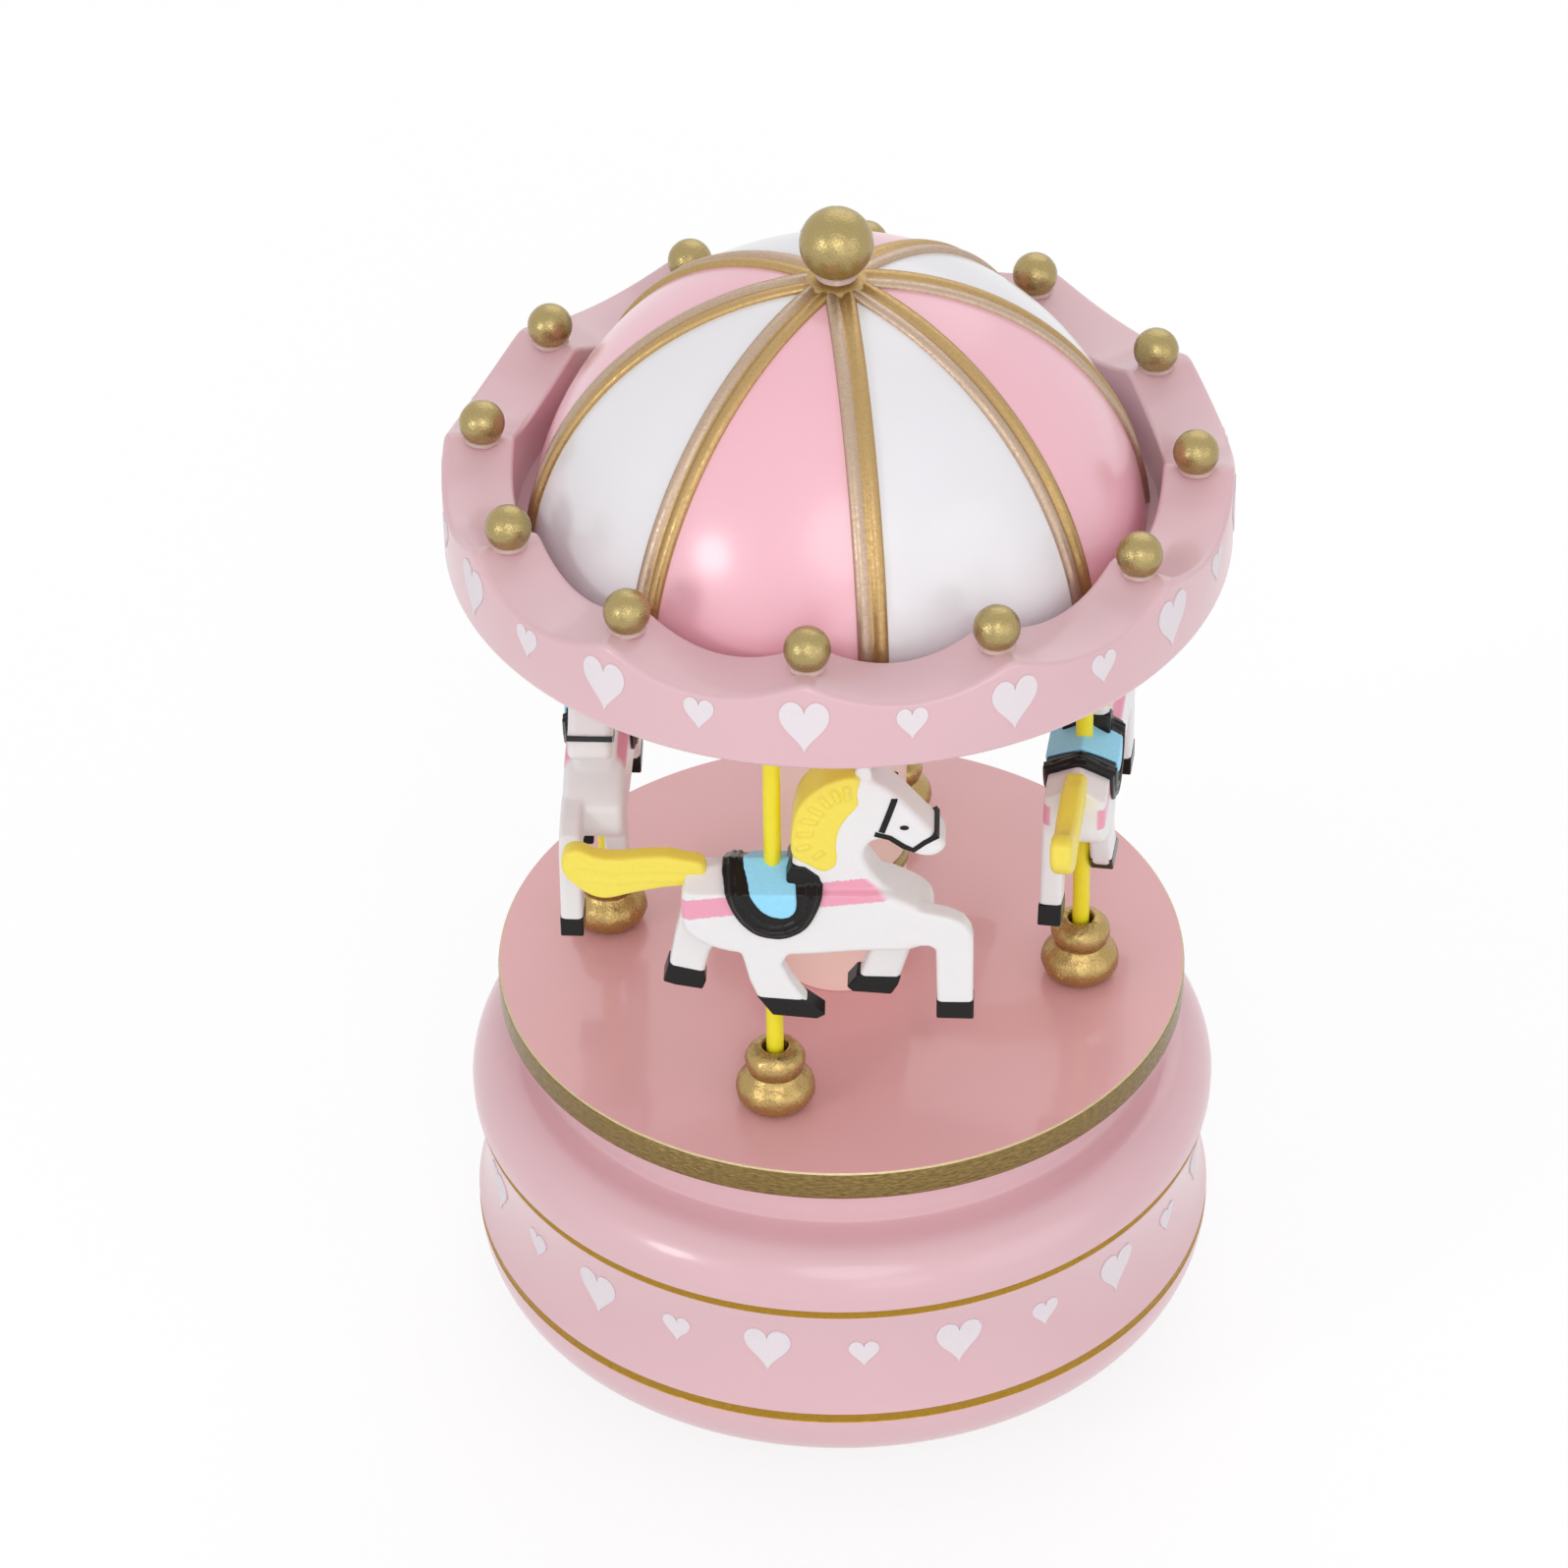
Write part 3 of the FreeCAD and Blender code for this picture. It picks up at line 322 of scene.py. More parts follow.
def finish(name):
    """The named finish, made the first time it is asked for."""
    if name in bpy.data.materials:
        return bpy.data.materials[name]
    c = colours()
    makers = {
        "pink_lacquer": lambda: lacquered_resin(name, c.pink, rough=0.32, gloss=0.45),
        "rose_lacquer": lambda: lacquered_resin(name, c.rose, rough=0.36, gloss=0.5, blur=0.08),
        "dome_pink_gloss": lambda: lacquered_resin(name, c.dome_pink, rough=0.3, gloss=0.6, blur=0.17),
        "dome_white_gloss": lambda: lacquered_resin(name, c.dome_white, rough=0.3, gloss=0.6, blur=0.17),
        "peach_lacquer": lambda: lacquered_resin(name, c.peach, rough=0.4, gloss=0.2),
        "flaked_gold_paint": lambda: gold_paint(name, c.gold, flake_mm=0.2, rough=0.28, dents=0.6),
        "pink_reflection_gold_paint": lambda: gold_paint(name, c.socket_gold, flake_mm=0.22, rough=0.26, dents=0.7),
        "gold_edge_paint": lambda: brushed_gold(name, c.edge_gold),
        # Paler gold of the turntable's upper corner: partly wear, partly a painted highlight along the
        # rounded rim
        "worn_and_highlit_gold_edge": lambda: gold_paint(name, linear("CFBC95"), flake_mm=0.4, rough=0.4),
        "gold_line_paint": lambda: gold_paint(name, c.line_gold, flake_mm=0.5, rough=0.45, dents=0.2),
        "rib_gold_paint": lambda: gold_paint(name, c.rib_gold, flake_mm=0.3, rough=0.4, dents=0.3),
        # Paler taupe gold on one half of each rib: a painted reflection of the pale dome and surroundings
        "rib_reflection_gold_paint": lambda: gold_paint(name, linear("BDA590"), flake_mm=0.3, rough=0.42, dents=0.3),
        "yellow_rod_plastic": lambda: moulded_plastic(name, c.rod, rough=0.35, patch_mm=1.5, share=0.05,
                                                      through=0.1),
        "white_horse_plastic": lambda: striped_plastic(name, c.white, list(c.stripe)),
        "black_paint": lambda: sprayed_paint(name, c.black, grit_mm=0.5, ragged=0.35, rough=0.28, sheen=0.25),
        "blue_paint": lambda: sprayed_paint(name, c.blue),
        "heart_paint": lambda: sprayed_paint(name, c.heart, grit_mm=0.5, ragged=0.03, rough=0.6),
        "mane_paint": lambda: sprayed_paint(name, c.yellow, grit_mm=0.6, ragged=0.05, rough=0.4),
        "clear_glue": lambda: moulded_plastic(name, linear("CFB3AC"), rough=0.12, patch_mm=1.0, share=0.1),
        "soft_black_rubber": lambda: moulded_plastic(name, linear("232222"), rough=0.75, patch_mm=0.6,
                                                     share=0.15),
        "turned_steel": lambda: brushed_metal(name, linear("B8B9BB"), rough=0.32),
        "blued_steel": lambda: brushed_metal(name, linear("6E7680"), rough=0.28),
        "turned_brass": lambda: brushed_metal(name, linear("D2AC58"), rough=0.3),
        "zinc_casting": lambda: brushed_metal(name, linear("A9ABAE"), rough=0.5, line_mm=0.8),
        "moulded_nylon": lambda: moulded_plastic(name, linear("E9E6DC"), rough=0.5, patch_mm=2.0, share=0.03,
                                                 through=0.2),
        "white_cover_plastic": lambda: moulded_plastic(name, linear("E8E4E2"), rough=0.5),
    }
    return makers[name]()


# Modelling tools

def clear_selection():
    """Leaves edit mode and deselects everything."""
    if bpy.context.object and bpy.context.object.mode != "OBJECT":
        bpy.ops.object.mode_set(mode="OBJECT")
    bpy.ops.object.select_all(action="DESELECT")


def pick(*objects):
    """Selects these objects alone and makes the first of them active."""
    clear_selection()
    for o in objects:
        o.select_set(True)
    bpy.context.view_layer.objects.active = objects[0]
    return objects[0]


def settle(piece, spot):
    """Puts a piece in its place, which its mesh then holds."""
    piece.matrix_world = spot
    pick(piece)
    bpy.ops.object.transform_apply(location=True, rotation=True, scale=True)
    return piece


def copy_of(piece):
    """Copy of a piece with a mesh of its own."""
    copy = piece.copy()
    copy.data = piece.data.copy()
    bpy.context.collection.objects.link(copy)
    return copy


def sphere(name, radius, centre, segments, rings, turn=0.0):
    """Round blank for a dome or a ball."""
    clear_selection()
    bpy.ops.mesh.primitive_uv_sphere_add(segments=segments, ring_count=rings, radius=radius, location=centre,
                                         rotation=(0, 0, turn))
    piece = bpy.context.object
    piece.name = piece.data.name = name
    bpy.ops.object.transform_apply(location=True, rotation=True, scale=True)
    return piece


def outline(name, points, fill=False):
    """A vertex extruded from point to point, in millimetres, into a closed loop or a filled face."""
    clear_selection()
    here = Vector(points[0]) * MM
    bpy.ops.mesh.primitive_plane_add(size=MM, location=here)
    piece = bpy.context.object
    piece.name = piece.data.name = name
    bpy.ops.object.transform_apply(location=True, rotation=True, scale=True)
    bpy.ops.object.mode_set(mode="EDIT")
    bpy.ops.mesh.select_mode(type="VERT")
    bpy.ops.mesh.select_all(action="SELECT")
    bpy.ops.mesh.merge(type="CENTER")
    for point in list(points[1:]) + [points[0]]:
        there = Vector(point) * MM
        bpy.ops.mesh.extrude_vertices_move(TRANSFORM_OT_translate={"value": there - here})
        here = there
    bpy.ops.mesh.select_all(action="SELECT")
    bpy.ops.mesh.remove_doubles(threshold=1e-6)
    if fill:
        bpy.ops.mesh.edge_face_add()
    bpy.ops.object.mode_set(mode="OBJECT")
    return piece


def edit(piece):
    """Opens a piece in edit mode with all of it selected."""
    pick(piece)
    bpy.ops.object.mode_set(mode="EDIT")
    bpy.ops.mesh.select_mode(type="VERT")
    bpy.ops.mesh.select_all(action="SELECT")


def close_edit(degrees=35.0):
    """Merges doubles, turns the faces outwards and smooths all but the sharp edges."""
    bpy.ops.mesh.select_all(action="SELECT")
    bpy.ops.mesh.remove_doubles(threshold=1e-6)
    bpy.ops.mesh.dissolve_degenerate(threshold=1e-7)
    bpy.ops.mesh.normals_make_consistent(inside=False)
    bpy.ops.object.mode_set(mode="OBJECT")
    bpy.ops.object.shade_smooth_by_angle(angle=math.radians(degrees))


def applied(piece, kind, **settings):
    """Gives a piece a modifier with these settings and applies it."""
    pick(piece)
    modifier = piece.modifiers.new(kind.lower(), kind)
    for name, value in settings.items():
        setattr(modifier, name, value)
    bpy.ops.object.modifier_apply(modifier=modifier.name)
    return piece


def rounded(profile, segments=6):
    """Closed outline in which a corner given with a third value is rounded to that radius."""
    points = []
    for n, corner in enumerate(profile):
        here = Vector(corner[:2])
        if len(corner) < 3:
            points.append(here)
            continue
        before = (Vector(profile[n - 1][:2]) - here).normalized()
        after = (Vector(profile[(n + 1) % len(profile)][:2]) - here).normalized()
        half = before.angle(after) / 2
        reach = corner[2] / math.tan(half)
        start = here + before * reach
        centre = here + (before + after).normalized() * (corner[2] / math.sin(half))
        turn = math.pi - 2 * half
        side = 1 if (here - start).cross(centre - start) > 0 else -1
        for k in range(segments + 1):
            t = side * turn * k / segments
            arm = start - centre
            points.append(centre + Vector((arm.x * math.cos(t) - arm.y * math.sin(t),
                                           arm.x * math.sin(t) + arm.y * math.cos(t))))
    return points


def lathe(name, profile, steps=160):
    """Turned piece: a closed outline of radius and height, in millimetres, spun once round the axis."""
    piece = outline(name, [(max(p[0], 0.0), 0.0, p[1]) for p in rounded(profile)])
    edit(piece)
    bpy.ops.mesh.spin(steps=steps, angle=2 * math.pi, center=(0, 0, 0), axis=(0, 0, 1))
    close_edit()
    return piece


def paint(piece, finishes, choose=None):
    """Gives the piece its finishes, and each face the one that choose(centre, normal) names by number."""
    piece.data.materials.clear()
    for name in finishes:
        piece.data.materials.append(finish(name))
    if choose:
        for face in piece.data.polygons:
            face.material_index = choose(face.center / MM, face.normal)
    return piece


def turned_copies(piece, count, first, name):
    """Copies of a piece at even steps round the axis, joined into one."""
    copies = []
    for n in range(count):
        copy = copy_of(piece)
        copy.matrix_world = Matrix.Rotation(first + 2 * math.pi * n / count, 4, "Z")
        copies.append(copy)
    bpy.data.objects.remove(piece)
    pick(*copies)
    bpy.ops.object.transform_apply(location=True, rotation=True, scale=True)
    return joined(name, copies)


def joined(name, pieces):
    """One piece of this name, made of all of these."""
    pick(*pieces)
    if len(pieces) > 1:
        bpy.ops.object.join()
    piece = bpy.context.object
    piece.name = piece.data.name = name
    return piece


def place(piece, body, slot, *nodes):
    """Hands a finished piece to the frame: its body and the solids that it stands for; the slot is not used.
    """
    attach(piece, body)
    if nodes:
        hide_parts(*nodes)


def hammered(piece, depth_mm, grain_mm):
    """Small uneven dents all over a round piece."""
    clouds = bpy.data.textures.new(piece.name + "_dents", "CLOUDS")
    clouds.noise_scale = grain_mm * MM
    return applied(piece, "DISPLACE", texture=clouds, texture_coords="LOCAL", strength=depth_mm * MM,
                   mid_level=0.5)


def arc(across, up, wide, tall, degrees):
    """Points of an ellipse, by its centre, its half sizes and the angles from straight up."""
    return [(across + wide * math.sin(a), up + tall * math.cos(a)) for a in map(math.radians, degrees)]


# Operators

class MUSICBOX_OT_drum(bpy.types.Operator):
    """Lathes the drum with its shoulder, neck and gold lines"""
    bl_idname = "music_box.drum"
    bl_label = "Drum"

    def execute(self, context):
        s = sizes()
        r, low, high = s.drum_radius / MM, s.line_low / MM, s.line_high / MM
        neck, bottom = s.neck_radius / MM, s.drum_bottom / MM
        deck = s.turntable_top / MM - 5.3
        # Half width and depth of a gold line, and the hollow of the band between the two lines
        half, sunk, hollow = 0.75, 0.08, 1.5
        # Thickness of the neck's wall and of the deck, and the hole for the drive shaft
        wall, plate, bore = 3.2, 3.0, 4.5
        # Radius of the opening below and of the inner wall, and the least radius of a painted line
        opening, inner, outside = 45.0, 48.8, 50.0
        middle, reach = (low + high) / 2, (high - low) / 2

        profile = [(opening, bottom), (46.2, bottom, 0.4)]
        profile += arc(46.9, low - half, 5.1, -8.2, range(8, 88, 8))
        profile += [(r, low - half), (r - sunk, low - half + 0.1), (r - sunk, low + half - 0.1),
                    (r, low + half)]
        profile += [(r - hollow * (1 - u * u), middle + u * reach)
                    for u in (-0.75, -0.5, -0.25, 0.0, 0.25, 0.5, 0.75)]
        profile += [(r - 0.2, high - half - 0.1), (r - 0.25, high - half), (r - 0.2, high + half - 0.2),
                    (r + 0.12, high + half)]
        profile += arc(45.2, 42.6, 7.0, 7.3, range(84, 5, -6))
        profile += [(neck + 0.9, 50.0), (neck + 0.3, 50.4), (neck, 51.2), (neck, deck, 0.5), (bore, deck),
                    (bore, deck - plate), (neck - wall, deck - plate), (neck - wall, 49.2), (inner, 43.0),
                    (inner, 20.6), (opening, 15.6)]

        def on_line(centre, normal):
            from_line = min(abs(centre.z - low), abs(centre.z - high))
            return int(centre.xy.length > outside and from_line < half + 0.05)

        drum = lathe("drum", profile, 192)
        paint(drum, ["pink_lacquer", "gold_line_paint"], on_line)
        place(drum, "base", "pink_plastic", "base_shell")
        return {"FINISHED"}


class MUSICBOX_OT_turntable(bpy.types.Operator):
    """Lathes the turning platform with its gold edge"""
    bl_idname = "music_box.turntable"
    bl_label = "Turntable"

    def execute(self, context):
        s = sizes()
        r, top = s.turntable_radius / MM, s.turntable_top / MM
        low, bore = top - 4.6, 2.5

        def coat(centre, normal):
            """Lacquer on the faces, gold round the edge, and on its upper corner a paler gold that is partly
            wear and partly a painted highlight.
            """
            out = centre.xy.length
            if out < r - 0.5:
                return 0
            # Painted highlight, with a little wear, on the thin top corner of the gold edge
            if centre.z > top - 0.15:
                return 2 if out > r - 0.3 else 0
            return 1

        disc = lathe("turntable", [(bore, low), (r, low, 0.6), (r, top - 0.6), (r - 0.08, top - 0.2),
                                   (r - 0.3, top), (r - 1.2, top), (30, top), (bore, top)], 192)
        paint(disc, ["rose_lacquer", "gold_edge_paint", "worn_and_highlit_gold_edge"], coat)
        place(disc, "carousel", "turntable_pink", "turntable")
        return {"FINISHED"}


class MUSICBOX_OT_sockets(bpy.types.Operator):
    """Models one lumpy gold socket and copies it to the four poles"""
    bl_idname = "music_box.sockets"
    bl_label = "Pole sockets"

    def execute(self, context):
        s = sizes()
        h, hole = s.turntable_top / MM, 1.6
        lobes = [(hole, h), (4.3, h, 0.3)]
        lobes += [(2.5 + 2.95 * math.cos(math.radians(d)), h + 2.75 + 2.9 * math.sin(math.radians(d)))
                  for d in range(-60, 66, 14)]
        lobes += [(1.7 + 2.45 * math.cos(math.radians(d)), h + 7.5 + 2.3 * math.sin(math.radians(d)))
                  for d in range(-42, 90, 14)]
        lobes += [(1.9, h + 9.75), (hole, h + 9.4)]
        turn_between = 1.1
        for n, a in enumerate((s.pole_1, s.pole_2, s.pole_3, s.pole_4)):
            socket = lathe("socket_%d" % (n + 1), lobes, 56)
            applied(socket, "SUBSURF", levels=1, render_levels=1)
            hammered(socket, 0.28, 1.6)
            spot = Matrix.Translation((s.pole_circle * math.cos(a), s.pole_circle * math.sin(a), 0))
            settle(socket, spot @ Matrix.Rotation(turn_between * n, 4, "Z"))
            # Sockets take the warmer gold, whose warmth is a painted reflection of the pink round them
            paint(socket, ["pink_reflection_gold_paint"])
            place(socket, "carousel", "gold_paint", "pole_socket_%d" % (n + 1))
        return {"FINISHED"}


class MUSICBOX_OT_column(bpy.types.Operator):
    """Lathes the column and the gold ring round it"""
    bl_idname = "music_box.column"
    bl_label = "Column"

    def execute(self, context):
        s = sizes()
        r, low, top = s.column_radius / MM, s.turntable_top / MM, s.ring_bottom / MM + 0.4
        bore, groove = 2.5, r - 0.8
        band_low, band_high = 80.1, 82.5
        column = lathe("column", [(bore, low), (r, low, 0.3), (r, band_low, 0.2), (groove, band_low),
                                  (groove, band_high), (r, band_high, 0.2), (r, top, 0.2), (bore, top)], 96)
        paint(column, ["peach_lacquer"])
        place(column, "carousel", "peach_plastic", "column")
        band = lathe("column_band", [(groove, band_low), (r, band_low), (r + 0.45, band_low + 0.6),
                                     (r + 0.5, band_low + 1.2), (r + 0.45, band_high - 0.6), (r, band_high),
                                     (groove, band_high)], 96)
        paint(band, ["flaked_gold_paint"])
        place(band, "carousel", "gold_paint", "column_ring")
        return {"FINISHED"}


def scallop(x, y):
    """Share of the scallop's depth at this place: nothing at a peak, all of it half way to the next."""
    step = math.pi / 6
    turn = (math.atan2(y, x) - sizes().ball_phase) % step
    u = 2 * turn / step - 1
    dip = 1 - u * u
    soft = 0.10
    return max(0.0, (math.sqrt(dip * dip + soft * soft) - soft) / (math.sqrt(1 + soft * soft) - soft))


class MUSICBOX_OT_canopy_ring(bpy.types.Operator):
    """Lathes the canopy ring and draws its top edge down into scallops"""
    bl_idname = "music_box.canopy_ring"
    bl_label = "Canopy ring"

    def execute(self, context):
        s = sizes()
        r, inner, low, top = s.ring_radius / MM, s.ring_inner / MM, s.ring_bottom / MM, s.ring_peak / MM
        middle = low + 5
        ring = lathe("canopy_ring", [(inner, low), (r, low, 1.2), (r, middle), (r, top, 0.9), (r - 4, top),
                                     (inner, top, 0.7), (inner, middle)], 360)
        for vertex in ring.data.vertices:
            height = vertex.co.z / MM
            if height > middle + 0.01:
                share = min(1.0, (height - middle) / (top - middle))
                vertex.co.z -= s.scallop_depth * scallop(vertex.co.x, vertex.co.y) * share
        paint(ring, ["pink_lacquer"])
        place(ring, "carousel", "pink_plastic", "canopy_ring")
        return {"FINISHED"}


class MUSICBOX_OT_dome(bpy.types.Operator):
    """Models the dome's panels and its gold ribs"""
    bl_idname = "music_box.dome"
    bl_label = "Dome"

    def execute(self, context):
        s = sizes()
        dome = sphere("dome", s.dome_radius, (0, 0, s.dome_centre), 128, 96, s.rib_phase)
        edit(dome)
        bpy.ops.mesh.bisect(plane_co=(0, 0, s.dome_foot), plane_no=(0, 0, 1), clear_inner=True)
        bpy.ops.object.mode_set(mode="OBJECT")
        paint(dome, ["dome_white_gloss", "dome_pink_gloss"], self.panel)
        applied(dome, "SOLIDIFY", thickness=1.8 * MM, offset=-1.0)
        pick(dome)
        bpy.ops.object.shade_smooth_by_angle(angle=math.radians(40))
        place(dome, "carousel", "dome_paint", "dome")

        ribs = turned_copies(self.rib(), 8, s.rib_phase, "dome_ribs")
        # One half of each rib gets the paler gold as a painted reflection
        paint(ribs, ["rib_gold_paint", "rib_reflection_gold_paint"], self.painted_reflection_half)
        place(ribs, "carousel", "gold_paint")
        return {"FINISHED"}

    @staticmethod
    def panel(centre, normal):
        """0 on a white panel and 1 on a pink one."""
        turn = (math.atan2(centre.y, centre.x) - sizes().rib_phase) % (2 * math.pi)
        return int(turn // (math.pi / 4)) % 2

    @staticmethod
    def rib():
        """Double rib: its section spun up the dome, from the foot to just short of the top."""
        s = sizes()
        r, z = s.dome_radius / MM, s.dome_centre / MM
        half_section = [(0.35, 0.2), (0.65, 0.5), (0.75, 1.1), (0.6, 1.75), (0.15, 2.0), (-0.5, 2.0)]
        section = [(out, -side) for out, side in reversed(half_section)] + half_section
        rib = outline("dome_ribs", [(r + out, side, z) for out, side in section])
        start = math.asin((s.dome_foot - s.dome_centre) / s.dome_radius)
        end = math.radians(88.5)
        rib.data.transform(Matrix.Translation((0, 0, s.dome_centre)) @ Matrix.Rotation(-start, 4, "Y")
                           @ Matrix.Translation((0, 0, -s.dome_centre)))
        edit(rib)
        bpy.ops.mesh.spin(steps=56, angle=end - start, center=(0, 0, s.dome_centre), axis=(0, 1, 0))
        bpy.ops.mesh.select_all(action="DESELECT")
        bpy.ops.mesh.select_non_manifold()
        bpy.ops.mesh.fill_holes(sides=0)
        close_edit(50)
        return rib

    @staticmethod
    def painted_reflection_half(centre, normal):
        """1 on the half of a rib painted paler as a painted reflection of the pale surroundings, and 0 on its
        other half.
        """
        step = math.pi / 4
        turn = (math.atan2(centre.y, centre.x) - sizes().rib_phase + step / 2) % step - step / 2
        return int(centre.xy.length * math.sin(turn) < -0.3)


class MUSICBOX_OT_balls(bpy.types.Operator):
    """Models the crown balls on the scallops and the finial on the dome"""
    bl_idname = "music_box.balls"
    bl_label = "Gold balls"

    def execute(self, context):
        s = sizes()
        ball = sphere("crown_balls", s.ball_radius, (s.ball_circle, 0, s.ball_height), 40, 24)
        hammered(ball, 0.06, 0.9)
        pick(ball)
        bpy.ops.object.shade_smooth()
        balls = turned_copies(ball, 12, s.ball_phase, "crown_balls")
        paint(balls, ["flaked_gold_paint"])
        place(balls, "carousel", "gold_paint", "crown_balls")

        seat, hole = s.ring_peak / MM, 1.6
        glue = lathe("ball_glue", [(hole, seat - 0.3), (2.5, seat - 0.3), (2.4, seat + 0.1),
                                   (2.1, seat + 0.3), (hole, seat + 0.4)], 32)
        glue.data.transform(Matrix.Translation((s.ball_circle, 0, 0)))
        hammered(glue, 0.25, 1.2)
        beads = turned_copies(glue, 12, s.ball_phase, "ball_glue")
        paint(beads, ["clear_glue"])
        place(beads, "carousel", "clear_collar")

        finial = sphere("finial", s.finial_radius, (0, 0, s.finial_height), 72, 48)
        hammered(finial, 0.07, 1.1)
        pick(finial)
        bpy.ops.object.shade_smooth()
        paint(finial, ["flaked_gold_paint"])
        place(finial, "carousel", "gold_paint", "finial_ball")

        top, bore, glue_edge = (s.dome_centre + s.dome_radius) / MM, 1.5, 2.75
        collar = lathe("finial_collar", [(bore, top - 0.6), (4.2, top - 0.6), (4.2, top + 0.3),
                                         (3.7, top + 0.7), (2.7, top + 0.9), (2.2, top + 1.5),
                                         (bore, top + 1.6)], 64)
        hammered(collar, 0.15, 1.5)
        paint(collar, ["clear_glue", "rib_gold_paint"], lambda c, n: int(c.xy.length > glue_edge))
        place(collar, "carousel", "clear_collar", "finial_collar")
        return {"FINISHED"}


def heart_curve(count=48):
    """Plump heart, one unit to each side and one up and down."""
    points = []
    for t in [2 * math.pi * k / count for k in range(count)]:
        rise = (13 * math.cos(t) - 5 * math.cos(2 * t) - 2 * math.cos(3 * t) - math.cos(4 * t)) / 16
        points.append((math.sin(t) ** 3, (rise + 0.16) / 0.905))
    return points


def heart_row(name, wall, radius, rows):
    """Thick painted hearts: one of each row is drawn in from its rim, pressed on the wall and copied."""
    parts = []
    for wide, tall, first, height in rows:
        front = -radius / MM - 2
        heart = outline(name, [(x * wide / 2, front, height / MM + y * tall / 2) for x, y in heart_curve()])
        middle = (0, front * MM, height)
        edit(heart)
        for share in (0.93, 0.86, 0.78, 0.68, 0.5):
            bpy.ops.mesh.extrude_region_move()
            bpy.ops.transform.resize(value=(share, share, share), center_override=middle)
        bpy.ops.mesh.merge(type="CENTER")
        bpy.ops.object.mode_set(mode="OBJECT")
        applied(heart, "SHRINKWRAP", target=wall, wrap_method="PROJECT", use_project_y=True,
                use_positive_direction=True, use_negative_direction=False, offset=0.02 * MM)
        edit(heart)
        bpy.ops.mesh.normals_make_consistent(inside=False)
        bpy.ops.mesh.solidify(thickness=-0.14 * MM)
        close_edit(50)
        parts.append(turned_copies(heart, 12, first + math.pi / 2, name))
    return paint(joined(name, parts), ["heart_paint"])


class MUSICBOX_OT_hearts(bpy.types.Operator):
    """Lays the painted hearts on the canopy ring and the drum"""
    bl_idname = "music_box.hearts"
    bl_label = "Painted hearts"

    def execute(self, context):
        s = sizes()
        ring = heart_row("ring_hearts", bpy.data.objects["canopy_ring"], s.ring_radius,
                         [(6.4, 8.0, s.ball_phase, s.ring_bottom + 7.1 * MM),
                          (4.1, 4.9, s.ball_phase + math.radians(15), s.ring_bottom + 7.2 * MM)])
        place(ring, "carousel", "pink_plastic")
        middle = (s.line_low + s.line_high) / 2 + 1.3 * MM
        drum = heart_row("drum_hearts", bpy.data.objects["drum"], s.drum_radius,
                         [(6.5, 7.6, math.radians(-102.5), middle), (4.2, 4.6, math.radians(-87.5), middle)])
        place(drum, "base", "pink_plastic")
        return {"FINISHED"}


# Horse outlines: forward and up from the turntable, in millimetres, the pole's axis at forward 0
TRUNK = [(-9.8, 40.6), (-11.7, 38.9), (-12.1, 35.5), (-11.4, 32.1), (-8.2, 29.6), (-3.0, 28.4),
         (4.0, 28.4), (12.0, 29.1), (18.6, 29.5), (21.2, 31.8), (20.9, 34.9), (17.6, 37.5), (11.5, 39.8),
         (2.0, 40.5)]
HEAD = [(2.8, 41.5), (3.0, 45.0), (3.2, 48.9), (4.3, 52.6), (7.0, 55.6), (10.4, 57.0), (13.4, 56.7),
        (16.2, 54.5), (19.2, 51.0), (21.7, 47.9), (22.9, 46.0), (21.6, 44.5), (19.4, 44.5), (17.2, 45.8),
        (15.0, 47.0), (13.0, 46.5), (12.2, 44.4), (12.9, 42.2), (14.6, 39.6), (16.6, 37.4), (14.5, 34.2),
        (5.5, 35.2)]
EAR = [(10.6, 56.0), (11.2, 58.3), (12.2, 59.6), (13.1, 58.2), (13.4, 56.0)]
TAIL = [(-9.0, 41.4), (-11.8, 42.3), (-14.1, 42.8), (-17.5, 42.6), (-20.6, 42.3), (-23.3, 42.6),
        (-25.6, 43.7), (-27.4, 43.1), (-28.0, 40.9), (-27.2, 38.8), (-24.8, 36.5), (-22.2, 35.6),
        (-18.7, 36.5), (-14.9, 37.4), (-11.8, 37.8), (-9.0, 37.7)]
SADDLE = [(-6.4, 41.2), (-6.4, 39.8), (-5.6, 36.9), (-4.4, 34.5), (-2.5, 32.5), (-0.3, 31.7), (2.0, 31.8),
          (4.4, 33.3), (5.9, 36.0), (6.7, 39.0), (6.2, 41.2), (1.6, 41.3), (-2.5, 41.1)]
POMMEL = [(2.0, 38.0), (1.9, 41.3), (2.7, 43.0), (4.4, 42.8), (6.3, 41.2), (6.9, 38.6), (6.0, 36.4)]
BLANKET = [(-3.6, 42.2), (-3.2, 40.0), (-2.7, 38.6), (-1.7, 36.9), (-0.4, 35.8), (1.0, 35.4), (2.3, 35.6),
           (3.1, 36.6), (3.3, 38.2), (3.1, 40.2), (2.6, 42.2)]
MANE = [(2.7, 44.6), (2.7, 48.9), (3.8, 52.9), (6.6, 56.0), (9.8, 57.5), (11.6, 57.2), (11.4, 54.8),
        (11.5, 53.0), (10.1, 51.0), (9.0, 48.9), (8.6, 46.4), (8.7, 44.2), (8.3, 42.7), (6.7, 41.9),
        (4.8, 43.0)]
FORE_OUTER = [(17.6, 35.9), (19.6, 36.2), (23.5, 35.2), (25.4, 34.2), (26.4, 32.5), (26.7, 31.2),
              (26.7, 18.2), (21.9, 18.3), (21.7, 29.7), (20.8, 30.3), (17.2, 30.3)]
FORE_INNER = [(14.2, 30.8), (12.8, 24.6), (11.4, 20.5), (9.8, 18.9), (10.5, 18.2), (15.7, 17.8),
              (16.5, 19.3), (18.1, 24.7), (19.8, 30.8)]
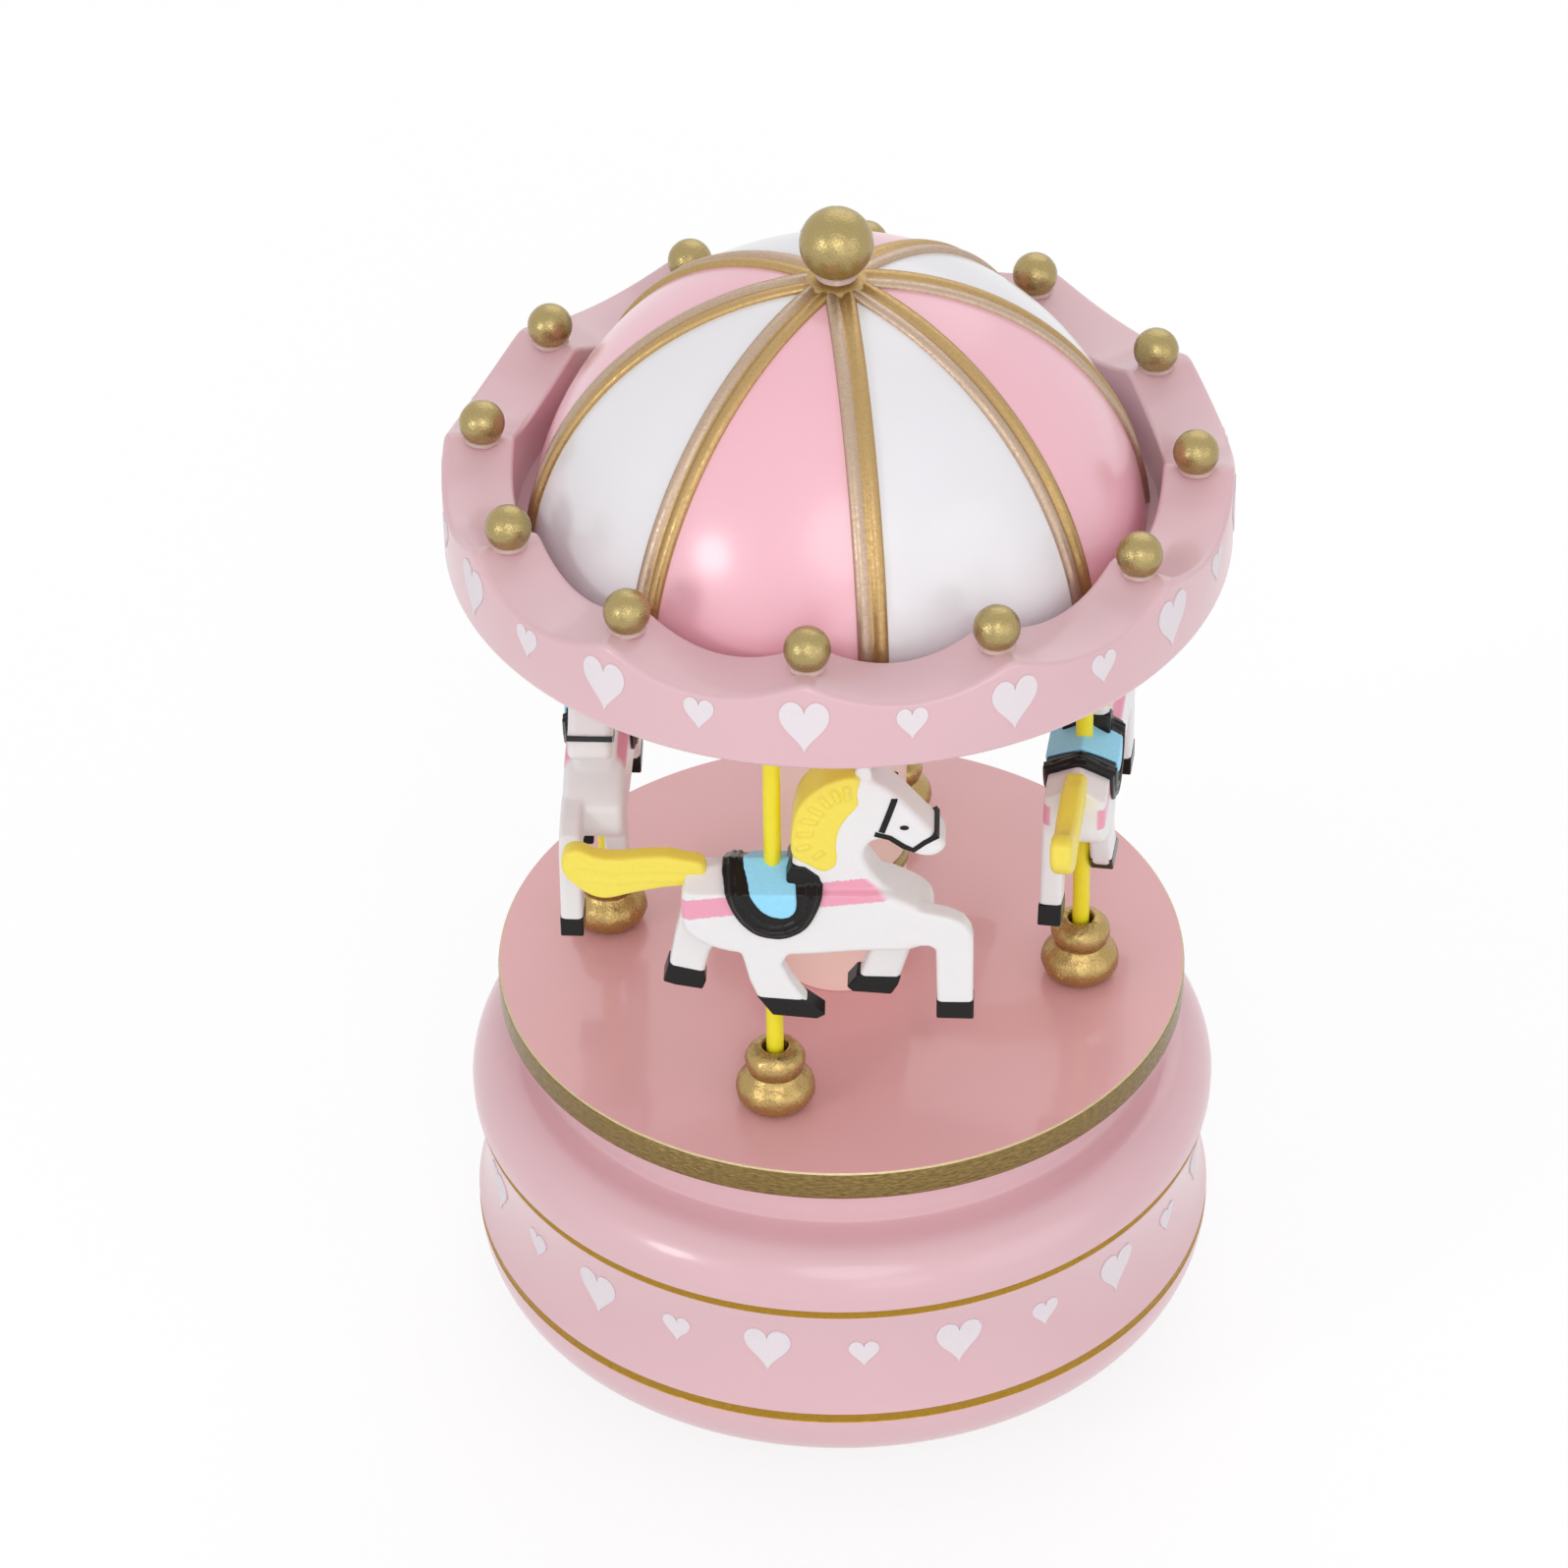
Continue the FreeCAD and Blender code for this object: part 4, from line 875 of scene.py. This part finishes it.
HIND_OUTER = [(-4.8, 31.0), (-4.0, 28.1), (-3.1, 24.1), (-2.0, 21.2), (0.0, 18.6), (5.8, 18.0),
              (6.9, 18.6), (4.6, 20.5), (2.5, 23.9), (1.2, 26.9), (2.2, 28.9), (4.2, 31.0)]
HIND_INNER = [(-11.0, 36.3), (-11.8, 33.9), (-12.5, 30.4), (-13.3, 27.0), (-13.7, 24.5), (-14.1, 22.2),
              (-14.9, 19.6), (-13.4, 19.1), (-9.7, 18.4), (-9.3, 19.7), (-9.5, 20.5), (-9.1, 22.5),
              (-8.6, 24.5), (-6.5, 28.8), (-4.5, 31.5)]
HOOVES = [([(21.8, 21.1), (21.8, 18.2), (26.8, 18.1), (26.8, 21.1)], -1),
          ([(-2.2, 21.7), (-0.1, 18.5), (5.8, 17.9), (7.0, 18.6), (4.6, 20.6), (3.9, 21.2)], -1),
          ([(11.1, 20.9), (9.7, 18.9), (10.5, 18.1), (15.7, 17.7), (16.6, 19.3), (17.0, 20.8)], 1),
          ([(-14.2, 22.6), (-15.0, 19.6), (-13.4, 19.0), (-9.7, 18.3), (-9.2, 19.7), (-9.4, 21.4)], 1)]
SADDLE_LINES = [[(-5.6, 42.0), (-5.4, 40.0), (-4.7, 37.2), (-3.6, 35.1), (-2.0, 33.4), (-0.2, 32.7),
                 (1.8, 32.8), (3.8, 34.0), (5.0, 36.3), (5.7, 39.0), (5.6, 42.0)],
                [(-4.7, 42.0), (-4.6, 40.0), (-3.9, 37.6), (-2.9, 35.7), (-1.6, 34.3), (-0.1, 33.7),
                 (1.6, 33.8), (3.2, 34.8), (4.2, 36.7), (4.8, 39.0), (4.8, 42.0)]]
CHEEK = [(16.2, 54.0), (15.4, 51.4), (14.5, 48.6)]
JAW = [(13.6, 48.3), (15.6, 47.7), (17.4, 46.3), (18.7, 45.7), (20.2, 47.0), (21.9, 48.1)]
EYE = (17.5, 49.4)
STRANDS = [[(3.4, 46.0), (5.0, 46.6)], [(3.4, 48.4), (5.4, 48.6)], [(4.0, 50.8), (6.0, 50.4)],
           [(5.0, 52.8), (6.8, 51.8)], [(6.4, 54.6), (7.7, 53.0)], [(8.2, 55.8), (8.9, 53.8)],
           [(9.9, 56.4), (10.1, 54.2)], [(5.6, 44.6), (6.8, 45.6)]]
TAIL_LINES = [[(-11.0, 40.6), (-16.0, 40.8), (-21.0, 40.4), (-26.0, 41.4)],
              [(-11.0, 39.2), (-16.0, 39.2), (-21.0, 38.6), (-25.4, 39.2)]]
TRUNK_HALF = 4.2
HEAD_HALF = 3.0
TAIL_HALF = 1.5
SADDLE_HALF = 4.7
LEG_NEAR = 1.3
LEG_FAR = 4.3
EAR_NEAR = 0.9
EAR_FAR = 2.4
POMMEL_HALF = 3.3
TRUNK_RIDGE = 40.9
SADDLE_RIDGE = 41.7
BACK_FALL = 0.55


def smooth_loop(points, cuts=4):
    """Closed curve through the points, with even cuts between them."""
    result = []
    count = len(points)
    for n in range(count):
        p = [Vector(points[(n + k) % count]) for k in (-1, 0, 1, 2)]
        pull = p[2] - p[0]
        bend = 2 * p[0] - 5 * p[1] + 4 * p[2] - p[3]
        twist = 3 * p[1] - p[0] - 3 * p[2] + p[3]
        for t in [k / cuts for k in range(cuts)]:
            result.append(0.5 * (2 * p[1] + pull * t + bend * t * t + twist * t ** 3))
    return result


def ribbon(line, half):
    """Outline of an even stroke along a line of points."""
    left, right = [], []
    for n, point in enumerate(line):
        ahead = Vector(line[min(n + 1, len(line) - 1)]) - Vector(line[max(n - 1, 0)])
        across = Vector((-ahead.y, ahead.x)).normalized() * half
        left.append(Vector(point) + across)
        right.append(Vector(point) - across)
    return left + right[::-1]


def slab(points, y0, y1, bevel, smooth=True, segments=4):
    """Side-view outline extruded across the horse, its rim bevelled round."""
    top = sizes().turntable_top / MM
    loop = smooth_loop(points) if smooth else [Vector(p) for p in points]
    piece = outline("slab", [(p.x, y0, top + p.y) for p in loop], True)
    edit(piece)
    bpy.ops.mesh.extrude_region_move(TRANSFORM_OT_translate={"value": (0, (y1 - y0) * MM, 0)})
    close_edit(40)
    if bevel:
        applied(piece, "BEVEL", width=bevel * MM, segments=segments, limit_method="ANGLE",
                angle_limit=math.radians(50))
    return piece


def moulded(name, pieces, voxel_mm, rounds):
    """Closed pieces grown into one skin and softened, as a mould does."""
    piece = joined(name, pieces)
    applied(piece, "REMESH", mode="VOXEL", voxel_size=voxel_mm * MM)
    applied(piece, "SMOOTH", factor=0.5, iterations=rounds)
    pick(piece)
    bpy.ops.object.shade_smooth()
    return piece


def both_sides(points, half, bevel=0.0, smooth=False):
    """Slab of even thickness to both sides of the horse's middle."""
    return slab(points, -half, half, bevel, smooth)


def ridged(piece, ridge):
    """Back cut to a low roof: two slopes that fall from a ridge along the middle."""
    top = sizes().turntable_top + ridge * MM
    for side in (-1, 1):
        edit(piece)
        bpy.ops.mesh.bisect(plane_co=(0, 0, top), plane_no=(0, side * BACK_FALL, 1), use_fill=True,
                            clear_outer=True)
        close_edit(40)
    return piece


def side_map(piece):
    """Keeps the horse's own side view as a map, and how far across each vertex is, for its painted stripe."""
    mesh = piece.data
    layer = mesh.uv_layers.new(name="side")
    for loop in mesh.loops:
        spot = mesh.vertices[loop.vertex_index].co
        layer.data[loop.index].uv = (spot.x / MM, spot.z / MM - sizes().turntable_top / MM)
    across = mesh.attributes.new("across", "FLOAT", "POINT")
    for vertex, value in zip(mesh.vertices, across.data):
        value.value = abs(vertex.co.y) / MM
    return piece


def horse_body():
    """Trunk, head, ears and legs in one moulding."""
    legs = [slab(points, -LEG_FAR, -LEG_NEAR, 0.5, False) for points in (FORE_OUTER, HIND_OUTER)]
    legs += [slab(points, LEG_NEAR, LEG_FAR, 0.5, False) for points in (FORE_INNER, HIND_INNER)]
    ears = [slab(EAR, EAR_NEAR, EAR_FAR, 0, False), slab(EAR, -EAR_FAR, -EAR_NEAR, 0, False)]
    trunk = ridged(both_sides(TRUNK, TRUNK_HALF, 1.6, True), TRUNK_RIDGE)
    head = both_sides(HEAD, HEAD_HALF, 0.9, True)
    return side_map(moulded("body", [trunk, head] + legs + ears, 0.26, 4))


def horse_tail():
    """Tail with two raised strands along it."""
    strands = [both_sides(ribbon(line, 0.28), TAIL_HALF + 0.16) for line in TAIL_LINES]
    return moulded("tail", [both_sides(TAIL, TAIL_HALF, 0.9, True)] + strands, 0.2, 3)


def horse_mane():
    """Mane with short raised strands."""
    strands = [both_sides(ribbon(line, 0.36), HEAD_HALF + 0.75) for line in STRANDS]
    return moulded("mane", [both_sides(MANE, HEAD_HALF + 0.25, 0.5, True)] + strands, 0.2, 2)


def horse_saddle():
    """Saddle with its pommel and two raised seams."""
    seams = [ridged(both_sides(ribbon(line, 0.22), SADDLE_HALF + 0.35), SADDLE_RIDGE + 0.35)
             for line in SADDLE_LINES]
    seat = ridged(both_sides(SADDLE, SADDLE_HALF, 0.4, True), SADDLE_RIDGE)
    return moulded("saddle", [seat, both_sides(POMMEL, POMMEL_HALF, 0.4)] + seams, 0.2, 2)


def horse_blanket():
    """Blanket over the middle of the saddle."""
    cloth = ridged(both_sides(BLANKET, SADDLE_HALF + 0.25, 0.0, True), SADDLE_RIDGE + 0.3)
    return moulded("blanket", [cloth], 0.22, 3)


def horse_hooves():
    """Painted shell round the end of each leg."""
    coat = 0.08
    return joined("hooves", [slab(points, side * (LEG_NEAR - coat), side * (LEG_FAR + coat), 0.22, False, 2)
                             for points, side in HOOVES])


def horse_bridle():
    """Painted bridle and eyes, just proud of the head."""
    pupil = [(EYE[0] + 0.6 * math.cos(t), EYE[1] + 0.36 * math.sin(t))
             for t in [math.pi * k / 8 for k in range(16)]]
    return joined("bridle", [both_sides(ribbon(CHEEK, 0.42), HEAD_HALF + 0.1),
                             both_sides(ribbon(JAW, 0.38), HEAD_HALF + 0.08),
                             both_sides(pupil, HEAD_HALF + 0.1)])


def horse_parts():
    """One horse in its own side view: its pieces by name, each with its finish."""
    return [("body", horse_body(), "white_horse_plastic"), ("tail", horse_tail(), "mane_paint"),
            ("mane", horse_mane(), "mane_paint"), ("saddle", horse_saddle(), "black_paint"),
            ("blanket", horse_blanket(), "blue_paint"), ("hooves", horse_hooves(), "black_paint"),
            ("bridle", horse_bridle(), "black_paint")]


class MUSICBOX_OT_horses(bpy.types.Operator):
    """Models one horse, and copies it with its pole to the four places"""
    bl_idname = "music_box.horses"
    bl_label = "Horses and poles"

    def execute(self, context):
        s = sizes()
        parts = horse_parts()
        rod, foot, head = s.pole_radius / MM, 62.8, 141.0
        places = ((s.pole_1, s.facing_1), (s.pole_2, s.facing_2), (s.pole_3, s.facing_3),
                  (s.pole_4, s.facing_4))
        for n, (a, facing) in enumerate(places):
            number = n + 1
            spot = Matrix.Translation((s.pole_circle * math.cos(a), s.pole_circle * math.sin(a), 0))
            spot @= Matrix.Rotation(facing, 4, "Z")
            rider = "rider_%d" % number
            for name, part, coat in parts:
                copy = copy_of(part)
                copy.name = copy.data.name = "horse_%d_%s" % (number, name)
                settle(copy, spot)
                paint(copy, [coat])
                place(copy, rider, "horse_plastic", *(["horse_%d" % number] if name == "body" else []))
            pole = lathe("rod_%d" % number, [(0, foot), (rod, foot, 0.15), (rod, head, 0.4), (0, head)], 32)
            settle(pole, spot)
            paint(pole, ["yellow_rod_plastic"])
            place(pole, rider, "yellow_plastic", "pole_%d" % number)
        for name, part, coat in parts:
            bpy.data.objects.remove(part)
        return {"FINISHED"}


class MUSICBOX_OT_movement(bpy.types.Operator):
    """Gives the solids that stay, such as the movement, the foot and the screws, their real finishes"""
    bl_idname = "music_box.movement"
    bl_label = "Movement and foot"

    def execute(self, context):
        coats = {
            "pink_lacquer": ["winding_disc", "canopy_floor"],
            "soft_black_rubber": ["rubber_feet"],
            "white_cover_plastic": ["bottom_cover"],
            "turned_steel": ["winding_arbor", "arbor_screw", "cover_screws", "bedplate_screws", "comb_screws",
                             "bearing_plate_inner", "bearing_plate_outer", "governor_bracket",
                             "cylinder_arbor", "governor_pinion", "worm_shaft", "drive_shaft",
                             "turntable_screws", "canopy_screw"],
            "blued_steel": ["comb", "clutch_spring", "mainspring"],
            "turned_brass": ["pin_cylinder", "cylinder_wheel", "spring_barrel", "barrel_cap"],
            "zinc_casting": ["bedplate"],
            "moulded_nylon": ["thrust_washer", "deck_bush", "cylinder_pinion", "governor_wheel", "fly"],
        }
        for coat, names in coats.items():
            for name in names:
                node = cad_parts[name]
                node.data.materials.clear()
                node.data.materials.append(finish(coat))
        return {"FINISHED"}


def backdrop_rays(tree):
    """1 for a ray that shows the backdrop, to the camera or by way of metal or glass, and 0 for the rest."""
    path = add(tree, "ShaderNodeLightPath")
    seen = path.outputs["Is Camera Ray"]
    for kind in ("Is Glossy Ray", "Is Transmission Ray"):
        seen = add(tree, "ShaderNodeMath", {0: seen, 1: path.outputs[kind]}, operation="MAXIMUM").outputs[0]
    return seen


def studio_floor():
    """Pale paper floor that shows white and keeps part of the object's shadow."""
    glow_strength, glow_share = 1.1, 0.7
    clear_selection()
    bpy.ops.mesh.primitive_plane_add(size=6.0)
    floor = bpy.context.object
    floor.name = "floor"
    material, tree, shader = surface("pale_floor")
    shader.inputs["Base Color"].default_value = linear("F4F4F4")
    shader.inputs["Roughness"].default_value = 0.9
    glow = add(tree, "ShaderNodeEmission", {"Color": (1, 1, 1, 1), "Strength": glow_strength})
    share = add(tree, "ShaderNodeMath", {0: backdrop_rays(tree), 1: glow_share}, operation="MULTIPLY")
    mix = add(tree, "ShaderNodeMixShader", {0: share.outputs[0], 1: shader.outputs[0], 2: glow.outputs[0]})
    tree.links.new(mix.outputs[0], tree.nodes["Material Output"].inputs["Surface"])
    floor.data.materials.append(material)
    return floor


def studio_world(scene):
    """Even white surroundings, dimmer as a light than as a backdrop."""
    light, backdrop = 0.59, 1.0
    world = bpy.data.worlds.new("studio")
    scene.world = world
    world.use_nodes = True
    tree = world.node_tree
    glow = add(tree, "ShaderNodeMapRange", {"Value": backdrop_rays(tree), "To Min": light,
                                            "To Max": backdrop})
    tree.links.new(glow.outputs["Result"], tree.nodes["Background"].inputs["Strength"])
    tree.nodes["Background"].inputs["Color"].default_value = (1, 1, 1, 1)


def studio_lamps():
    """Soft round lamps, all turned to the middle of the object: place, width and power of each."""
    middle = Vector((0, 0, 0.09))
    for name, spot, size, power in (("key", (-0.95, -0.78, 0.55), 0.32, 2.4),
                                    ("front", (0.05, -1.1, 0.9), 0.7, 3.1),
                                    ("low", (0.3, -1.25, 0.3), 0.5, 0.7),
                                    ("fill", (0.95, -0.75, 0.45), 0.9, 1.5),
                                    ("back", (0.2, 0.9, 0.9), 1.2, 2.6)):
        bpy.ops.object.light_add(type="AREA", location=spot)
        lamp = bpy.context.object
        lamp.name = name
        lamp.data.shape = "DISK"
        lamp.data.size = size
        lamp.data.energy = power
        lamp.rotation_euler = (middle - Vector(spot)).to_track_quat("-Z", "Y").to_euler()


def photo_camera(scene):
    """Camera that fits the photograph: a steep view down, a slight roll, and the axis right of the middle."""
    image, sensor = 1596, 36.0
    down, roll = math.radians(37.47), math.radians(-0.75)
    focal, away = 7000.0, 942.0
    shown_at, aimed_at = (855.0, 790.0), Vector((0, 0, 93.4))
    level = Vector((1, 0, 0))
    steep = Vector((0, -math.sin(down), -math.cos(down)))
    ahead = Vector((0, math.cos(down), -math.sin(down)))
    right = level * math.cos(roll) - steep * math.sin(roll)
    lower = level * math.sin(roll) + steep * math.cos(roll)
    across, below = [(pixel - image / 2) / focal * away for pixel in shown_at]
    spot = aimed_at - right * across - lower * below - ahead * away
    bpy.ops.object.camera_add()
    camera = bpy.context.object
    axes = Matrix((right, -lower, -ahead)).transposed().to_4x4()
    camera.matrix_world = Matrix.Translation(spot * MM) @ axes
    camera.data.sensor_width = sensor
    camera.data.lens = focal / image * sensor
    camera.data.clip_start = 0.01
    scene.camera = camera


class MUSICBOX_OT_stage(bpy.types.Operator):
    """Sets up the pale floor, the soft lights and the camera"""
    bl_idname = "music_box.stage"
    bl_label = "Stage"

    def execute(self, context):
        scene = context.scene
        scene.view_settings.view_transform = "Standard"
        studio_floor()
        studio_world(scene)
        studio_lamps()
        photo_camera(scene)
        return {"FINISHED"}


class MUSICBOX_PT_panel(bpy.types.Panel):
    """Lists the pieces of the music box"""
    bl_label = "Music box"
    bl_idname = "MUSICBOX_PT_panel"
    bl_space_type = "VIEW_3D"
    bl_region_type = "UI"
    bl_category = "Music box"

    def draw(self, context):
        for step in STEPS:
            self.layout.operator(step.bl_idname)


STEPS = (MUSICBOX_OT_drum, MUSICBOX_OT_turntable, MUSICBOX_OT_sockets, MUSICBOX_OT_column,
         MUSICBOX_OT_canopy_ring, MUSICBOX_OT_dome, MUSICBOX_OT_balls, MUSICBOX_OT_hearts, MUSICBOX_OT_horses,
         MUSICBOX_OT_movement, MUSICBOX_OT_stage)
CLASSES = (MusicBoxSizes, MusicBoxColours) + STEPS + (MUSICBOX_PT_panel,)


def register():
    """Makes the classes and their settings known to Blender."""
    for item in CLASSES:
        bpy.utils.register_class(item)
    bpy.types.Scene.music_box_sizes = bpy.props.PointerProperty(type=MusicBoxSizes)
    bpy.types.Scene.music_box_colours = bpy.props.PointerProperty(type=MusicBoxColours)


def unregister():
    """Takes the settings and the classes out of Blender again."""
    del bpy.types.Scene.music_box_colours
    del bpy.types.Scene.music_box_sizes
    for item in reversed(CLASSES):
        bpy.utils.unregister_class(item)


def main():
    """Runs every step in turn."""
    register()
    for step in STEPS:
        getattr(bpy.ops.music_box, step.bl_idname.split(".")[1])()


if __name__ == "__main__":
    main()
